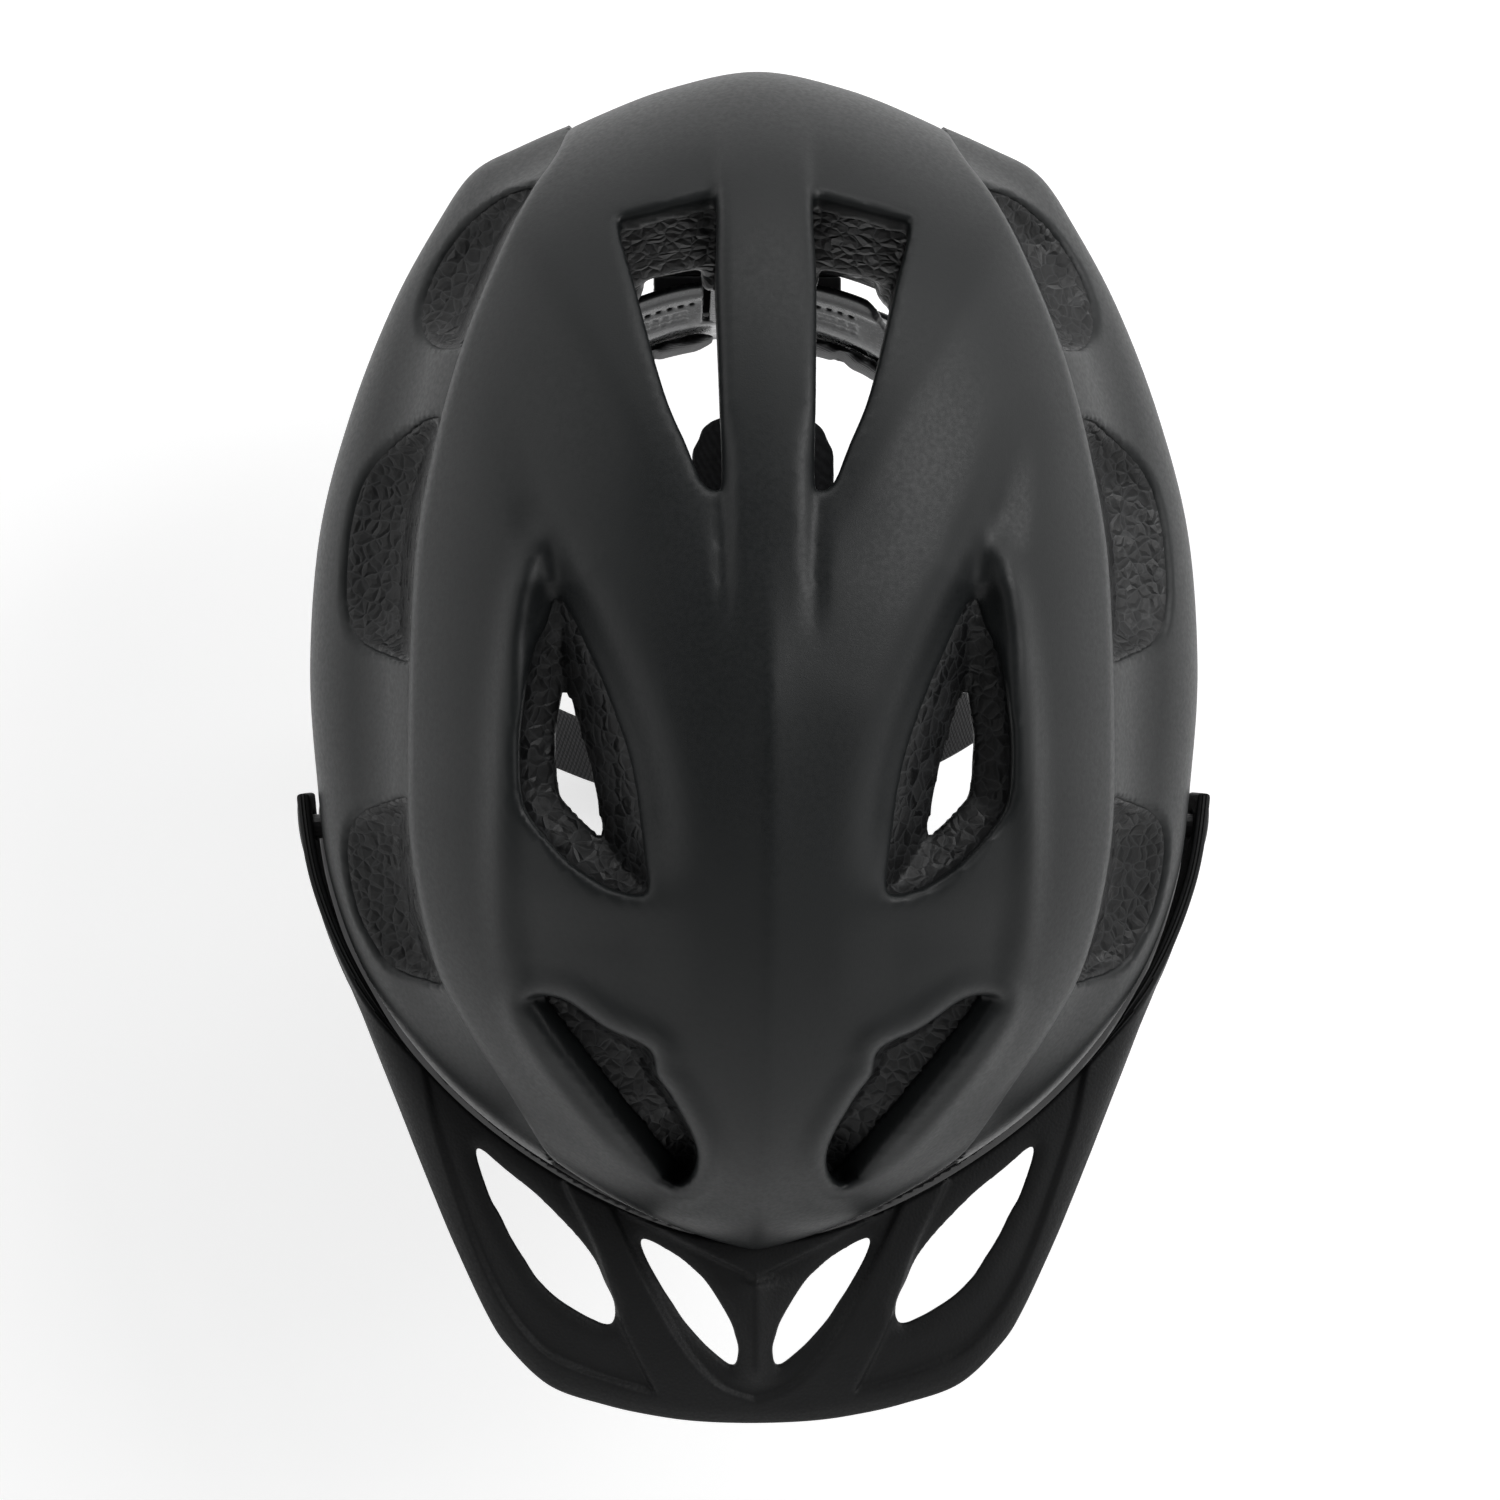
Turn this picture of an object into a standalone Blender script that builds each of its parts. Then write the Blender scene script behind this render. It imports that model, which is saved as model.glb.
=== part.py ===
"""Cycling helmet with a tilting visor, a dial-adjusted rear cradle and a buckled chin strap.

Blender 4.5, metres, +Z up, the front of the helmet towards -Y and the wearer's left at +X.
The origin is the centre of the head ring: the plane in which hat size is measured.
"""

import math

import bmesh
import bpy
from mathutils import Matrix, Vector

# ---------------------------------------------------------------- driving dimensions
CROWN_Z = 0.122                 # outside of the crown above the head ring
PLAN_CENTRE_Y = 0.005           # centre of the outline seen from above
SIDE_NARROWING = 0.095          # how much narrower the upper dome is than the lower band
LOWER_BAND_Z = 0.077            # height that the lower band's own dome would reach
STEP = 0.0035                   # the upper shell stands this far above the vent recess
SHELL_WALL = 0.0020
FIT_GAP = 0.0003                # between pieces that touch
MOVING_GAP = 0.0010             # between pieces that move past each other
RIM_BAND_HEIGHT = 0.015
HEAD_HALF_WIDTH = 0.084         # inside of the foam
HEAD_HALF_LENGTH = 0.106
HEAD_HEIGHT = 0.092
DOME_SEGMENTS = 46
DOME_RINGS = 18

WEBBING_WIDTH = 0.016
WEBBING_THICKNESS = 0.0015
BELT_WIDTH = 0.012
BELT_THICKNESS = 0.0016

VISOR_WALL = 0.0024
VISOR_PIVOT = Vector((0.0, -0.0345, 0.0140))
VISOR_SHELL_GAP = 0.0014
VISOR_ARM_BEARING = math.radians(106.3)     # where the arms end, from the rear
PIN_RADIUS = 0.0029
SOCKET_RADIUS = 0.0060

DIAL_CENTRE = Vector((0.0, 0.1050, -0.0560))
DIAL_RADIUS = 0.0150
GEAR_MODULE = 0.0009            # 12 mm of cradle travel turns the dial 153 degrees
GEAR_TEETH = 10
GEAR_THICKNESS = 0.0050
RING_INSET = 0.0030             # the belts' distance from the foam's inside
CRADLE_INSET = 0.0125

BUCKLE_CENTRE = Vector((0.004, -0.0220, -0.1560))
DIVIDER_CENTRE = Vector((0.0745, 0.0040, -0.1010))
DIVIDER_SIZE = (0.0060, 0.0240, 0.0260)

# The half outline seen from above, from the rear tip round the wearer's left side to the front.
SHELL_OUTLINE = [
    (0.000, 0.1430), (0.020, 0.1395), (0.038, 0.1335), (0.056, 0.1260), (0.067, 0.1200),
    (0.0755, 0.1080), (0.086, 0.0890), (0.096, 0.0640), (0.1035, 0.0360), (0.106, 0.0050),
    (0.1045, -0.0220), (0.101, -0.0480), (0.091, -0.0730), (0.072, -0.0975), (0.048, -0.1160),
    (0.022, -0.1285), (0.000, -0.1325),
]
# Where the upper shell ends: a step on each side that fades into the front.
STEP_OUTLINE = [
    (0.000, 0.1600), (0.040, 0.1500), (0.046, 0.1230), (0.0525, 0.1100), (0.0620, 0.0890),
    (0.0690, 0.0700), (0.0745, 0.0485), (0.0780, 0.0280), (0.0795, 0.0000), (0.0800, -0.0270),
    (0.0785, -0.0450), (0.0740, -0.0660), (0.0665, -0.0810), (0.0560, -0.0970),
    (0.0500, -0.1150), (0.0420, -0.1400), (0.0200, -0.1600), (0.0000, -0.1660),
]
REAR_WINDOW = [
    (0.0105, 0.1095), (0.0300, 0.1040), (0.0275, 0.0910), (0.0240, 0.0760), (0.0190, 0.0590),
    (0.0140, 0.0460), (0.0090, 0.0400), (0.0072, 0.0460), (0.0080, 0.0700), (0.0090, 0.0960),
]
MIDDLE_VENT = [
    (0.0455, 0.0150), (0.0505, 0.0050), (0.0530, -0.0080), (0.0535, -0.0180),
    (0.0520, -0.0280), (0.0470, -0.0355), (0.0400, -0.0420), (0.0310, -0.0465),
    (0.0270, -0.0440), (0.0275, -0.0350), (0.0300, -0.0200), (0.0335, -0.0080),
    (0.0385, 0.0040),
]
FRONT_VENT = [
    (0.0480, -0.0720), (0.0420, -0.0715), (0.0350, -0.0790), (0.0250, -0.0820),
    (0.0225, -0.0890), (0.0150, -0.1010), (0.0145, -0.1085), (0.0195, -0.1130),
    (0.0290, -0.1030), (0.0370, -0.0930),
]
# Side vents, seen from the side as (y, z).
REAR_SIDE_VENT = [
    (0.0740, 0.0860), (0.0780, 0.0560), (0.0840, 0.0490), (0.0960, 0.0490), (0.1060, 0.0530),
    (0.1120, 0.0620), (0.1120, 0.0860),
]
MIDDLE_SIDE_VENT = [
    (0.0040, 0.0860), (0.0070, 0.0580), (0.0140, 0.0520), (0.0300, 0.0510), (0.0500, 0.0520),
    (0.0570, 0.0580), (0.0570, 0.0860),
]
FRONT_SIDE_VENT = [
    (-0.0240, 0.0860), (-0.0270, 0.0570), (-0.0330, 0.0510), (-0.0450, 0.0480),
    (-0.0600, 0.0470), (-0.0690, 0.0540), (-0.0690, 0.0860),
]
VISOR_OUTLINE = [
    (0.1070, -0.0260), (0.1064, -0.0340), (0.1034, -0.0500), (0.0975, -0.0670),
    (0.0911, -0.0840), (0.0847, -0.1010), (0.0783, -0.1180), (0.0715, -0.1350),
    (0.0637, -0.1520), (0.0585, -0.1600), (0.0489, -0.1690), (0.0359, -0.1735),
    (0.0248, -0.1760), (0.0138, -0.1775), (0.0000, -0.1780),
]
OUTER_VISOR_HOLE = [
    (0.0662, -0.1110), (0.0634, -0.1217), (0.0606, -0.1270), (0.0581, -0.1322),
    (0.0548, -0.1375), (0.0513, -0.1427), (0.0452, -0.1480), (0.0352, -0.1530),
    (0.0336, -0.1480), (0.0360, -0.1427), (0.0383, -0.1375), (0.0422, -0.1322),
    (0.0470, -0.1270), (0.0524, -0.1217), (0.0590, -0.1164),
]
INNER_VISOR_HOLE = [
    (0.0266, -0.1325), (0.0262, -0.1363), (0.0221, -0.1439), (0.0196, -0.1478),
    (0.0172, -0.1516), (0.0141, -0.1554), (0.0105, -0.1592), (0.0054, -0.1630),
    (0.0041, -0.1592), (0.0049, -0.1554), (0.0063, -0.1516), (0.0110, -0.1439),
    (0.0145, -0.1401), (0.0192, -0.1363),
]
# The lower edge of the helmet, seen from the side as (y, z).
RIM_LINE = [
    (-0.1800, 0.0020), (-0.1300, 0.0010), (-0.1050, -0.0040), (-0.0720, -0.0170),
    (-0.0420, -0.0255), (-0.0100, -0.0250), (0.0250, -0.0190), (0.0550, -0.0215),
    (0.0850, -0.0310), (0.1150, -0.0350), (0.1800, -0.0340),
]


# ---------------------------------------------------------------- scene and materials
def clear_scene():
    for thing in list(bpy.data.objects):
        bpy.data.objects.remove(thing)


def new_collection(name):
    collection = bpy.data.collections.new(name)
    bpy.context.scene.collection.children.link(collection)
    return collection


def material(name, colour, roughness, metallic=0.0):
    made = bpy.data.materials.new(name)
    made.use_nodes = True
    shader = made.node_tree.nodes["Principled BSDF"]
    shader.inputs["Base Color"].default_value = (*colour, 1.0)
    shader.inputs["Roughness"].default_value = roughness
    shader.inputs["Metallic"].default_value = metallic
    return made


def part(mesh, name, finish):
    """A visible sub-part in the helmet's collection."""
    made = bpy.data.objects.new(name, mesh)
    mesh.materials.append(finish)
    PARTS.objects.link(made)
    return made


def cutter(mesh, name):
    made = bpy.data.objects.new(name, mesh)
    made.hide_render = True
    made.display_type = "WIRE"
    CUTTERS.objects.link(made)
    return made


def boolean(target, tool, operation):
    modifier = target.modifiers.new(operation.lower(), "BOOLEAN")
    modifier.operation = operation
    modifier.solver = "EXACT"
    modifier.object = tool
    return modifier


def cut(target, *tools):
    for tool in tools:
        boolean(target, tool, "DIFFERENCE")


def weld(target):
    """Merge the near-duplicate vertices that a Boolean leaves."""
    modifier = target.modifiers.new("weld", "WELD")
    modifier.merge_threshold = 0.00003


def mesh_from(bm, name):
    bmesh.ops.recalc_face_normals(bm, faces=bm.faces)
    if bm.calc_volume(signed=True) < 0:
        bmesh.ops.reverse_faces(bm, faces=bm.faces)
    mesh = bpy.data.meshes.new(name)
    bm.to_mesh(mesh)
    bm.free()
    mesh.shade_smooth()
    mesh.set_sharp_from_angle(angle=math.radians(35))
    return mesh


# ---------------------------------------------------------------- curves
def catmull_rom(points, steps, closed):
    """Points along a smooth curve that passes through all the given ones."""
    count = len(points)
    made = []
    for i in range(count if closed else count - 1):
        if closed:
            a, b, c, d = (Vector(points[(i + k - 1) % count]) for k in range(4))
        else:
            a, b, c, d = (Vector(points[min(max(i + k - 1, 0), count - 1)]) for k in range(4))
        for step in range(steps):
            t = step / steps
            made.append(
                0.5 * (2 * b + (c - a) * t + (2 * a - 5 * b + 4 * c - d) * t * t
                       + (3 * b - a - 3 * c + d) * t * t * t)
            )
    if not closed:
        made.append(Vector(points[-1]))
    return made


def mirrored(half):
    """A closed outline from its half at +X, whose ends lie on the middle line."""
    return half + [(-x, y) for x, y in half[-2:0:-1]]


def interpolate(x, table):
    """Linear interpolation in a list of (x, y) that rises in x."""
    for (x0, y0), (x1, y1) in zip(table, table[1:]):
        if x <= x1:
            return y0 + (y1 - y0) * max(0.0, (x - x0) / (x1 - x0))
    return table[-1][1]


def polar_table(half_outline):
    """(angle from the rear, radius) along a half outline, about the plan centre."""
    dense = catmull_rom(mirrored(half_outline), 8, closed=True)
    table = [(math.atan2(p.x, p.y - PLAN_CENTRE_Y), math.hypot(p.x, p.y - PLAN_CENTRE_Y))
             for p in dense[: len(dense) // 2 + 1]]
    return sorted((max(angle, 0.0), radius) for angle, radius in table)


OUTLINE_TABLE = polar_table(SHELL_OUTLINE)
STEP_TABLE = polar_table(STEP_OUTLINE)
STEP_OUTLINE_FINE = catmull_rom(STEP_OUTLINE, 6, closed=False)
CORE_MARGIN = 0.018             # nearer the step than this, the foam clears both shells


# ---------------------------------------------------------------- domes
def widest_z(angle):
    """Height of the widest ring: low at the sides and front, higher at the rear."""
    along = math.cos(angle)
    return 0.020 + (0.022 * along**2 if along > 0 else -0.005 * along**2)


def profile_radius(rise, across, up):
    """Distance from the centre to an ellipse's edge, at an angle above its long axis."""
    return 1 / math.hypot(math.cos(rise) / across, math.sin(rise) / up)


def dome_point(direction, kind, grow=0.0):
    """The point of a dome that a unit sphere's point is moved to.

    The kinds are "upper", the upper shell's outside; "lower", the lower shell's outside with
    the recess that the side vents lie in; and "core", which follows the upper shell under it
    and the lower shell elsewhere.
    """
    angle = math.atan2(abs(direction.x), direction.y)
    flat = math.hypot(direction.x, direction.y)
    rise = math.atan2(direction.z, flat)
    ring_z = widest_z(angle)
    outline = interpolate(angle, OUTLINE_TABLE)
    narrow = outline * (1 - SIDE_NARROWING * math.sin(angle) ** 2)
    outward = Vector((direction.x, direction.y)) / max(flat, 1e-9)
    if flat < 1e-6:
        outward = Vector((0.0, 0.0))

    def place(reach, z):
        return Vector((outward.x * reach, PLAN_CENTRE_Y + outward.y * reach, z))

    if rise < 0:
        down = -math.sin(rise)
        z = ring_z - (0.090 + grow) * down
        top = place((narrow + grow) * (1 - 0.09 * down**2), z)
        side = place((outline + grow) * (1 - 0.09 * down**2), z)
    else:
        radii = [
            profile_radius(rise, narrow + grow, CROWN_Z + grow - ring_z),
            profile_radius(rise, narrow + grow - STEP, CROWN_Z + grow - STEP - ring_z),
            profile_radius(rise, outline + grow, LOWER_BAND_Z + grow - ring_z),
        ]
        top, side = (place(r * math.cos(rise), ring_z + r * math.sin(rise))
                     for r in (radii[0], max(radii[1:])))
    if kind == "upper":
        return top
    if kind == "lower":
        return side
    bearing = math.atan2(abs(top.x), top.y - PLAN_CENTRE_Y)
    inside = math.hypot(top.x, top.y - PLAN_CENTRE_Y) < interpolate(bearing, STEP_TABLE)
    edge = min((Vector(p) - Vector((abs(top.x), top.y))).length for p in STEP_OUTLINE_FINE)
    middle = Vector((0.0, PLAN_CENTRE_Y, ring_z))
    if edge < CORE_MARGIN:
        return min(top, side, key=lambda point: (point - middle).length)
    return top if inside else side


def head_point(direction, kind, grow=0.0):
    """The foam's inside: a rounded dome above the head ring with straight walls below."""
    exponent = 2 / 2.3
    x, y, z = direction
    flat = math.hypot(x, y)
    rise = max(math.asin(max(-1.0, min(1.0, z))), 0.0)
    spread = math.cos(rise) ** exponent
    if flat < 0.02:
        spread = 0.0
    angle = math.atan2(y, x)
    across = math.copysign(abs(math.cos(angle)) ** (2 / 2.2), math.cos(angle))
    along = math.copysign(abs(math.sin(angle)) ** (2 / 2.2), math.sin(angle))
    height = (HEAD_HEIGHT + grow) * math.sin(rise) ** exponent if z >= 0 else 0.070 * z
    return Vector((
        (HEAD_HALF_WIDTH + grow) * spread * across,
        (HEAD_HALF_LENGTH + grow) * spread * along,
        height,
    ))


def dome_mesh(name, shape, kind="", grow=0.0, segments=DOME_SEGMENTS, rings=DOME_RINGS):
    bm = bmesh.new()
    bmesh.ops.create_uvsphere(bm, u_segments=segments, v_segments=rings, radius=1.0)
    # Nested domes share one triangulation, so that the gap between them stays open.
    bmesh.ops.triangulate(bm, faces=bm.faces, quad_method="FIXED")
    for vertex in bm.verts:
        vertex.co = shape(vertex.co.normalized(), kind, grow)
    return mesh_from(bm, name)


# ---------------------------------------------------------------- cutters
def prism_mesh(name, outline, low, high, to_world=Matrix.Identity(4), taper=1.0, lean=0.0):
    """An outline extruded along local Z. The low end is scaled by taper and shifted by lean."""
    curve = bpy.data.curves.new(name, "CURVE")
    curve.dimensions = "2D"
    curve.fill_mode = "BOTH"
    curve.extrude = (high - low) / 2
    spline = curve.splines.new("POLY")
    spline.points.add(len(outline) - 1)
    for point, place in zip(spline.points, outline):
        point.co = (place[0], place[1], 0.0, 1.0)
    spline.use_cyclic_u = True
    helper = bpy.data.objects.new(name, curve)
    bpy.context.scene.collection.objects.link(helper)
    graph = bpy.context.evaluated_depsgraph_get()
    mesh = bpy.data.meshes.new_from_object(helper.evaluated_get(graph))
    bpy.data.objects.remove(helper)
    bm = bmesh.new()
    bm.from_mesh(mesh)
    bmesh.ops.remove_doubles(bm, verts=bm.verts, dist=1e-6)
    middle = Vector((sum(p[0] for p in outline), sum(p[1] for p in outline))) / len(outline)
    for vertex in bm.verts:
        if vertex.co.z < 0:
            vertex.co.x = middle.x + (vertex.co.x - middle.x) * taper
            vertex.co.y = middle.y + (vertex.co.y - middle.y) * taper + lean
        vertex.co.z += (high + low) / 2
        vertex.co = to_world @ vertex.co
    return mesh_from(bm, name)


def both_sides(name, outline, low, high, **shape):
    """A cutter at +X and its mirror image, as two objects."""
    left = [(p[0], p[1]) for p in outline]
    right = [(-p[0], p[1]) for p in reversed(left)]
    return [
        cutter(prism_mesh(name + side, points, low, high, **shape), name + side)
        for side, points in (("_left", left), ("_right", right))
    ]


# Local X, Y, Z of a cutter drawn in side view become world Y, Z, X.
SIDE_VIEW = Matrix(((0, 0, 1, 0), (1, 0, 0, 0), (0, 1, 0, 0), (0, 0, 0, 1)))


def side_vent(name, outline):
    """Tunnels through both sides of the helmet."""
    points = catmull_rom(outline, 3, closed=False)
    return [
        cutter(prism_mesh(name + side, points, low, high, to_world=SIDE_VIEW), name + side)
        for side, low, high in (("_left", 0.040, 0.130), ("_right", -0.130, -0.040))
    ]


def below_line(name, line, shift):
    """A block under a line drawn in side view, as wide as the helmet."""
    points = [(p.x, p.y + shift) for p in catmull_rom(line, 4, closed=False)]
    points += [(0.200, -0.200), (-0.200, -0.200)]
    return cutter(prism_mesh(name, points, -0.140, 0.140, to_world=SIDE_VIEW), name)


# ---------------------------------------------------------------- simple solids
def box_mesh(name, low, high):
    bm = bmesh.new()
    bmesh.ops.create_cube(bm, size=1.0)
    low, high = Vector(low), Vector(high)
    for vertex in bm.verts:
        vertex.co = (low + high) / 2 + Vector(
            (vertex.co[i] * (high[i] - low[i]) for i in range(3)))
    return mesh_from(bm, name)


def rod_mesh(name, start, end, radius, sides=16):
    """A cylinder between two points."""
    start, end = Vector(start), Vector(end)
    bm = bmesh.new()
    bmesh.ops.create_cone(
        bm, cap_ends=True, segments=sides, radius1=radius, radius2=radius,
        depth=(end - start).length)
    turn = (end - start).to_track_quat("Z", "Y").to_matrix().to_4x4()
    bm.transform(Matrix.Translation((start + end) / 2) @ turn)
    return mesh_from(bm, name)


def loft_mesh(name, sections, closed_ends=True):
    """A solid through rings of points that all have the same count."""
    bm = bmesh.new()
    rings = [[bm.verts.new(point) for point in section] for section in sections]
    for ring, following in zip(rings, rings[1:]):
        for i in range(len(ring)):
            j = (i + 1) % len(ring)
            bm.faces.new((ring[i], ring[j], following[j], following[i]))
    if closed_ends:
        bm.faces.new(list(reversed(rings[0])))
        bm.faces.new(rings[-1])
    return mesh_from(bm, name)


def strip_mesh(name, path, width_along, width, thickness, steps=3):
    """Flat webbing along a path, its width kept parallel to one direction."""
    width_along = Vector(width_along)
    points = catmull_rom(path, steps, closed=False)
    sections = []
    for i, point in enumerate(points):
        tangent = (points[min(i + 1, len(points) - 1)] - points[max(i - 1, 0)]).normalized()
        across = tangent.cross(width_along)
        half = width_along * (width / 2 / across.length)
        rise = across.normalized() * (thickness / 2)
        sections.append([point - half - rise, point + half - rise,
                         point + half + rise, point - half + rise])
    return loft_mesh(name, sections)


def mirror_path(path):
    return [(-x, y, z) for x, y, z in path]


SIDES = (("left", 1), ("right", -1))


def sided_box(name, sign, low, high):
    """A box given for the left, at +X, or its mirror image."""
    xs = sorted((sign * low[0], sign * high[0]))
    return box_mesh(name, (xs[0], low[1], low[2]), (xs[1], high[1], high[2]))


# ---------------------------------------------------------------- shells and liner
def make_shells(finishes):
    rim_cut = below_line("rim_cut", RIM_LINE, 0.0)
    band_top = below_line("band_top", RIM_LINE, RIM_BAND_HEIGHT)
    above_band = below_line("above_band", RIM_LINE, RIM_BAND_HEIGHT + FIT_GAP)
    step_points = [(p.x, p.y) for p in catmull_rom(mirrored(STEP_OUTLINE), 3, closed=True)]
    inside_step = cutter(prism_mesh("inside_step", step_points, 0.0, 0.150), "inside_step")
    wider = [(x * 1.004, y * 1.004) for x, y in step_points]
    outside_step = cutter(prism_mesh("outside_step", wider, 0.0, 0.150), "outside_step")

    windows = both_sides("rear_window", REAR_WINDOW, 0.060, 0.150)
    window_ducts = both_sides("window_duct", REAR_WINDOW, 0.050, 0.150, lean=-0.033, taper=0.9)
    middles = both_sides("middle_vent", catmull_rom(MIDDLE_VENT, 2, True), 0.060, 0.150)
    middle_ducts = both_sides(
        "middle_duct", catmull_rom(MIDDLE_VENT, 2, True), 0.060, 0.150, taper=0.7)
    fronts = both_sides("front_vent", catmull_rom(FRONT_VENT, 2, True), 0.040, 0.150)
    front_ducts = both_sides(
        "front_duct", catmull_rom(FRONT_VENT, 2, True), 0.030, 0.150, lean=0.030, taper=0.8)
    sides = (
        side_vent("rear_side_vent", REAR_SIDE_VENT)
        + side_vent("middle_side_vent", MIDDLE_SIDE_VENT)
        + side_vent("front_side_vent", FRONT_SIDE_VENT)
    )

    upper = part(
        dome_mesh("upper_shell", dome_point, "upper"), "upper_shell", finishes["shell"])
    boolean(upper, inside_step, "INTERSECT")
    under_upper = cutter(
        dome_mesh("under_upper", dome_point, "upper", -SHELL_WALL), "under_upper")
    cut(upper, *windows, *middles, *fronts, above_band, under_upper)
    weld(upper)

    under_lower = cutter(
        dome_mesh("under_lower", dome_point, "lower", -SHELL_WALL), "under_lower")
    lower = part(
        dome_mesh("lower_shell", dome_point, "lower"), "lower_shell", finishes["shell"])
    cut(lower, outside_step, *sides, above_band, under_lower)

    band = part(dome_mesh("rim_band", dome_point, "lower"), "rim_band", finishes["band"])
    boolean(band, band_top, "INTERSECT")
    cut(band, under_lower, rim_cut)

    sockets = []
    for side, sign in SIDES:
        y, z = VISOR_PIVOT.y, VISOR_PIVOT.z
        sockets.append(cutter(
            rod_mesh("socket_hole_" + side, (sign * 0.0885, y, z), (sign * 0.1150, y, z),
                     SOCKET_RADIUS + FIT_GAP), "socket_hole_" + side))
        seat = part(
            rod_mesh("visor_socket_" + side, (sign * 0.0895, y, z), (sign * 0.1010, y, z),
                     SOCKET_RADIUS), "visor_socket_" + side, finishes["plastic"])
        bore = cutter(
            rod_mesh("socket_bore_" + side, (sign * 0.0905, y, z), (sign * 0.1150, y, z),
                     PIN_RADIUS + FIT_GAP), "socket_bore_" + side)
        cut(seat, bore)
        part(rod_mesh("visor_pin_" + side, (sign * 0.0910, y, z), (sign * 0.1062, y, z),
                      PIN_RADIUS), "visor_pin_" + side, finishes["plastic"])
    cut(lower, *sockets)
    weld(lower)

    liner = part(
        dome_mesh("eps_liner", dome_point, "core", -SHELL_WALL - FIT_GAP),
        "eps_liner", finishes["foam"])
    head = cutter(dome_mesh("head_space", head_point, segments=32, rings=14), "head_space")
    cut(liner, rim_cut, head, *window_ducts, *middle_ducts, *front_ducts, *sides,
        *sockets)
    weld(liner)


# ---------------------------------------------------------------- visor
VISOR_TABLE = polar_table([(0.0, 0.2000), (0.1150, 0.0400)] + VISOR_OUTLINE)


def make_visor(finishes):
    """A strip from the shell's front out to the peak, whose ends turn upright as arms."""
    steps_round, steps_across = 36, 4
    bm = bmesh.new()
    rows = []
    for i in range(steps_round + 1):
        share = 2 * i / steps_round - 1
        turn = math.pi - VISOR_ARM_BEARING
        bearing = math.pi - turn * abs(share)
        front = min(1.0, (1 - abs(share)) / 0.55)
        front = front * front * (3 - 2 * front)
        shell = interpolate(bearing, OUTLINE_TABLE)
        inner = shell + VISOR_SHELL_GAP + VISOR_WALL * (1 - front) + 0.0002
        outer = max(interpolate(bearing, VISOR_TABLE), shell + VISOR_SHELL_GAP + VISOR_WALL)
        inner_z = 0.0220 + 0.0030 * front
        outer_z = 0.0050 + 0.0130 * front
        row = []
        for j in range(steps_across + 1):
            v = j / steps_across
            reach = inner + (outer - inner) * v
            z = inner_z + (outer_z - inner_z) * v + 0.0025 * front * math.sin(math.pi * v)
            row.append(bm.verts.new((math.copysign(math.sin(bearing), share) * reach,
                                     PLAN_CENTRE_Y + math.cos(bearing) * reach, z)))
        rows.append(row)
    for row, following in zip(rows, rows[1:]):
        for j in range(steps_across):
            bm.faces.new((row[j], following[j], following[j + 1], row[j + 1]))
    visor = part(mesh_from(bm, "visor"), "visor", finishes["visor"])
    thicken = visor.modifiers.new("wall", "SOLIDIFY")
    thicken.thickness = VISOR_WALL
    thicken.offset = -1.0
    holes = both_sides("outer_hole", OUTER_VISOR_HOLE, -0.010, 0.050)
    holes += both_sides("inner_hole", INNER_VISOR_HOLE, -0.010, 0.050)
    y, z = VISOR_PIVOT.y, VISOR_PIVOT.z
    for side, sign in SIDES:
        holes.append(cutter(
            rod_mesh("pin_hole_" + side, (sign * 0.0980, y, z), (sign * 0.1150, y, z),
                     PIN_RADIUS + 0.0005), "pin_hole_" + side))
    cut(visor, *holes)
    visor.location = VISOR_PIVOT
    visor.data.transform(Matrix.Translation(-VISOR_PIVOT))


# ---------------------------------------------------------------- pads
def head_direction(bearing, rise):
    """A direction by its bearing from the front towards +X, and its rise."""
    return Vector((math.sin(bearing) * math.cos(rise), -math.cos(bearing) * math.cos(rise),
                   math.sin(rise)))


def patch_pad(name, bearings, rises, thickness, finish):
    """A cushion that follows the head space between two bearings and two rises, in degrees."""
    sections = []
    for i in range(9):
        bearing = math.radians(bearings[0] + (bearings[1] - bearings[0]) * i / 8)
        steps = [math.radians(rises[0] + (rises[1] - rises[0]) * j / 3) for j in range(4)]
        ends = 0.35 if i in (0, 8) else 1.0
        outer = [head_point(head_direction(bearing, rise), "", -0.0016) for rise in steps]
        inner = [head_point(head_direction(bearing, rise), "", -0.0016 - thickness * ends
                            * (1.0 if 0 < j < 3 else 0.6)) for j, rise in enumerate(steps)]
        sections.append(outer + inner[::-1])
    return part(loft_mesh(name, sections), name, finish)


def ceiling(x, y):
    """Height of the head space's roof."""
    spread = (abs(x) / HEAD_HALF_WIDTH) ** 2.2 + (abs(y) / HEAD_HALF_LENGTH) ** 2.2
    return HEAD_HEIGHT * (1 - spread ** (2.3 / 2.2)) ** (1 / 2.3)


def make_pads(finishes):
    patch_pad("front_pad", (-46, 46), (-4, 9), 0.0060, finishes["cloth"])
    patch_pad("side_pad_left", (66, 118), (9, 20), 0.0060, finishes["cloth"])
    patch_pad("side_pad_right", (-118, -66), (9, 20), 0.0060, finishes["cloth"])
    sections = []
    for i in range(11):
        y = -0.050 + 0.110 * i / 10
        xs = [-0.017 + 0.034 * j / 4 for j in range(5)]
        thick = 0.0035 if i in (0, 10) else 0.0070
        top = [(x, y, ceiling(x, y) - 0.0022) for x in xs]
        bottom = [(x, y, ceiling(x, y) - 0.0022 - thick * (1.0 if 0 < j < 4 else 0.5))
                  for j, x in enumerate(xs)]
        sections.append(top + bottom[::-1])
    part(loft_mesh("crown_pad", sections), "crown_pad", finishes["cloth"])


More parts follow.
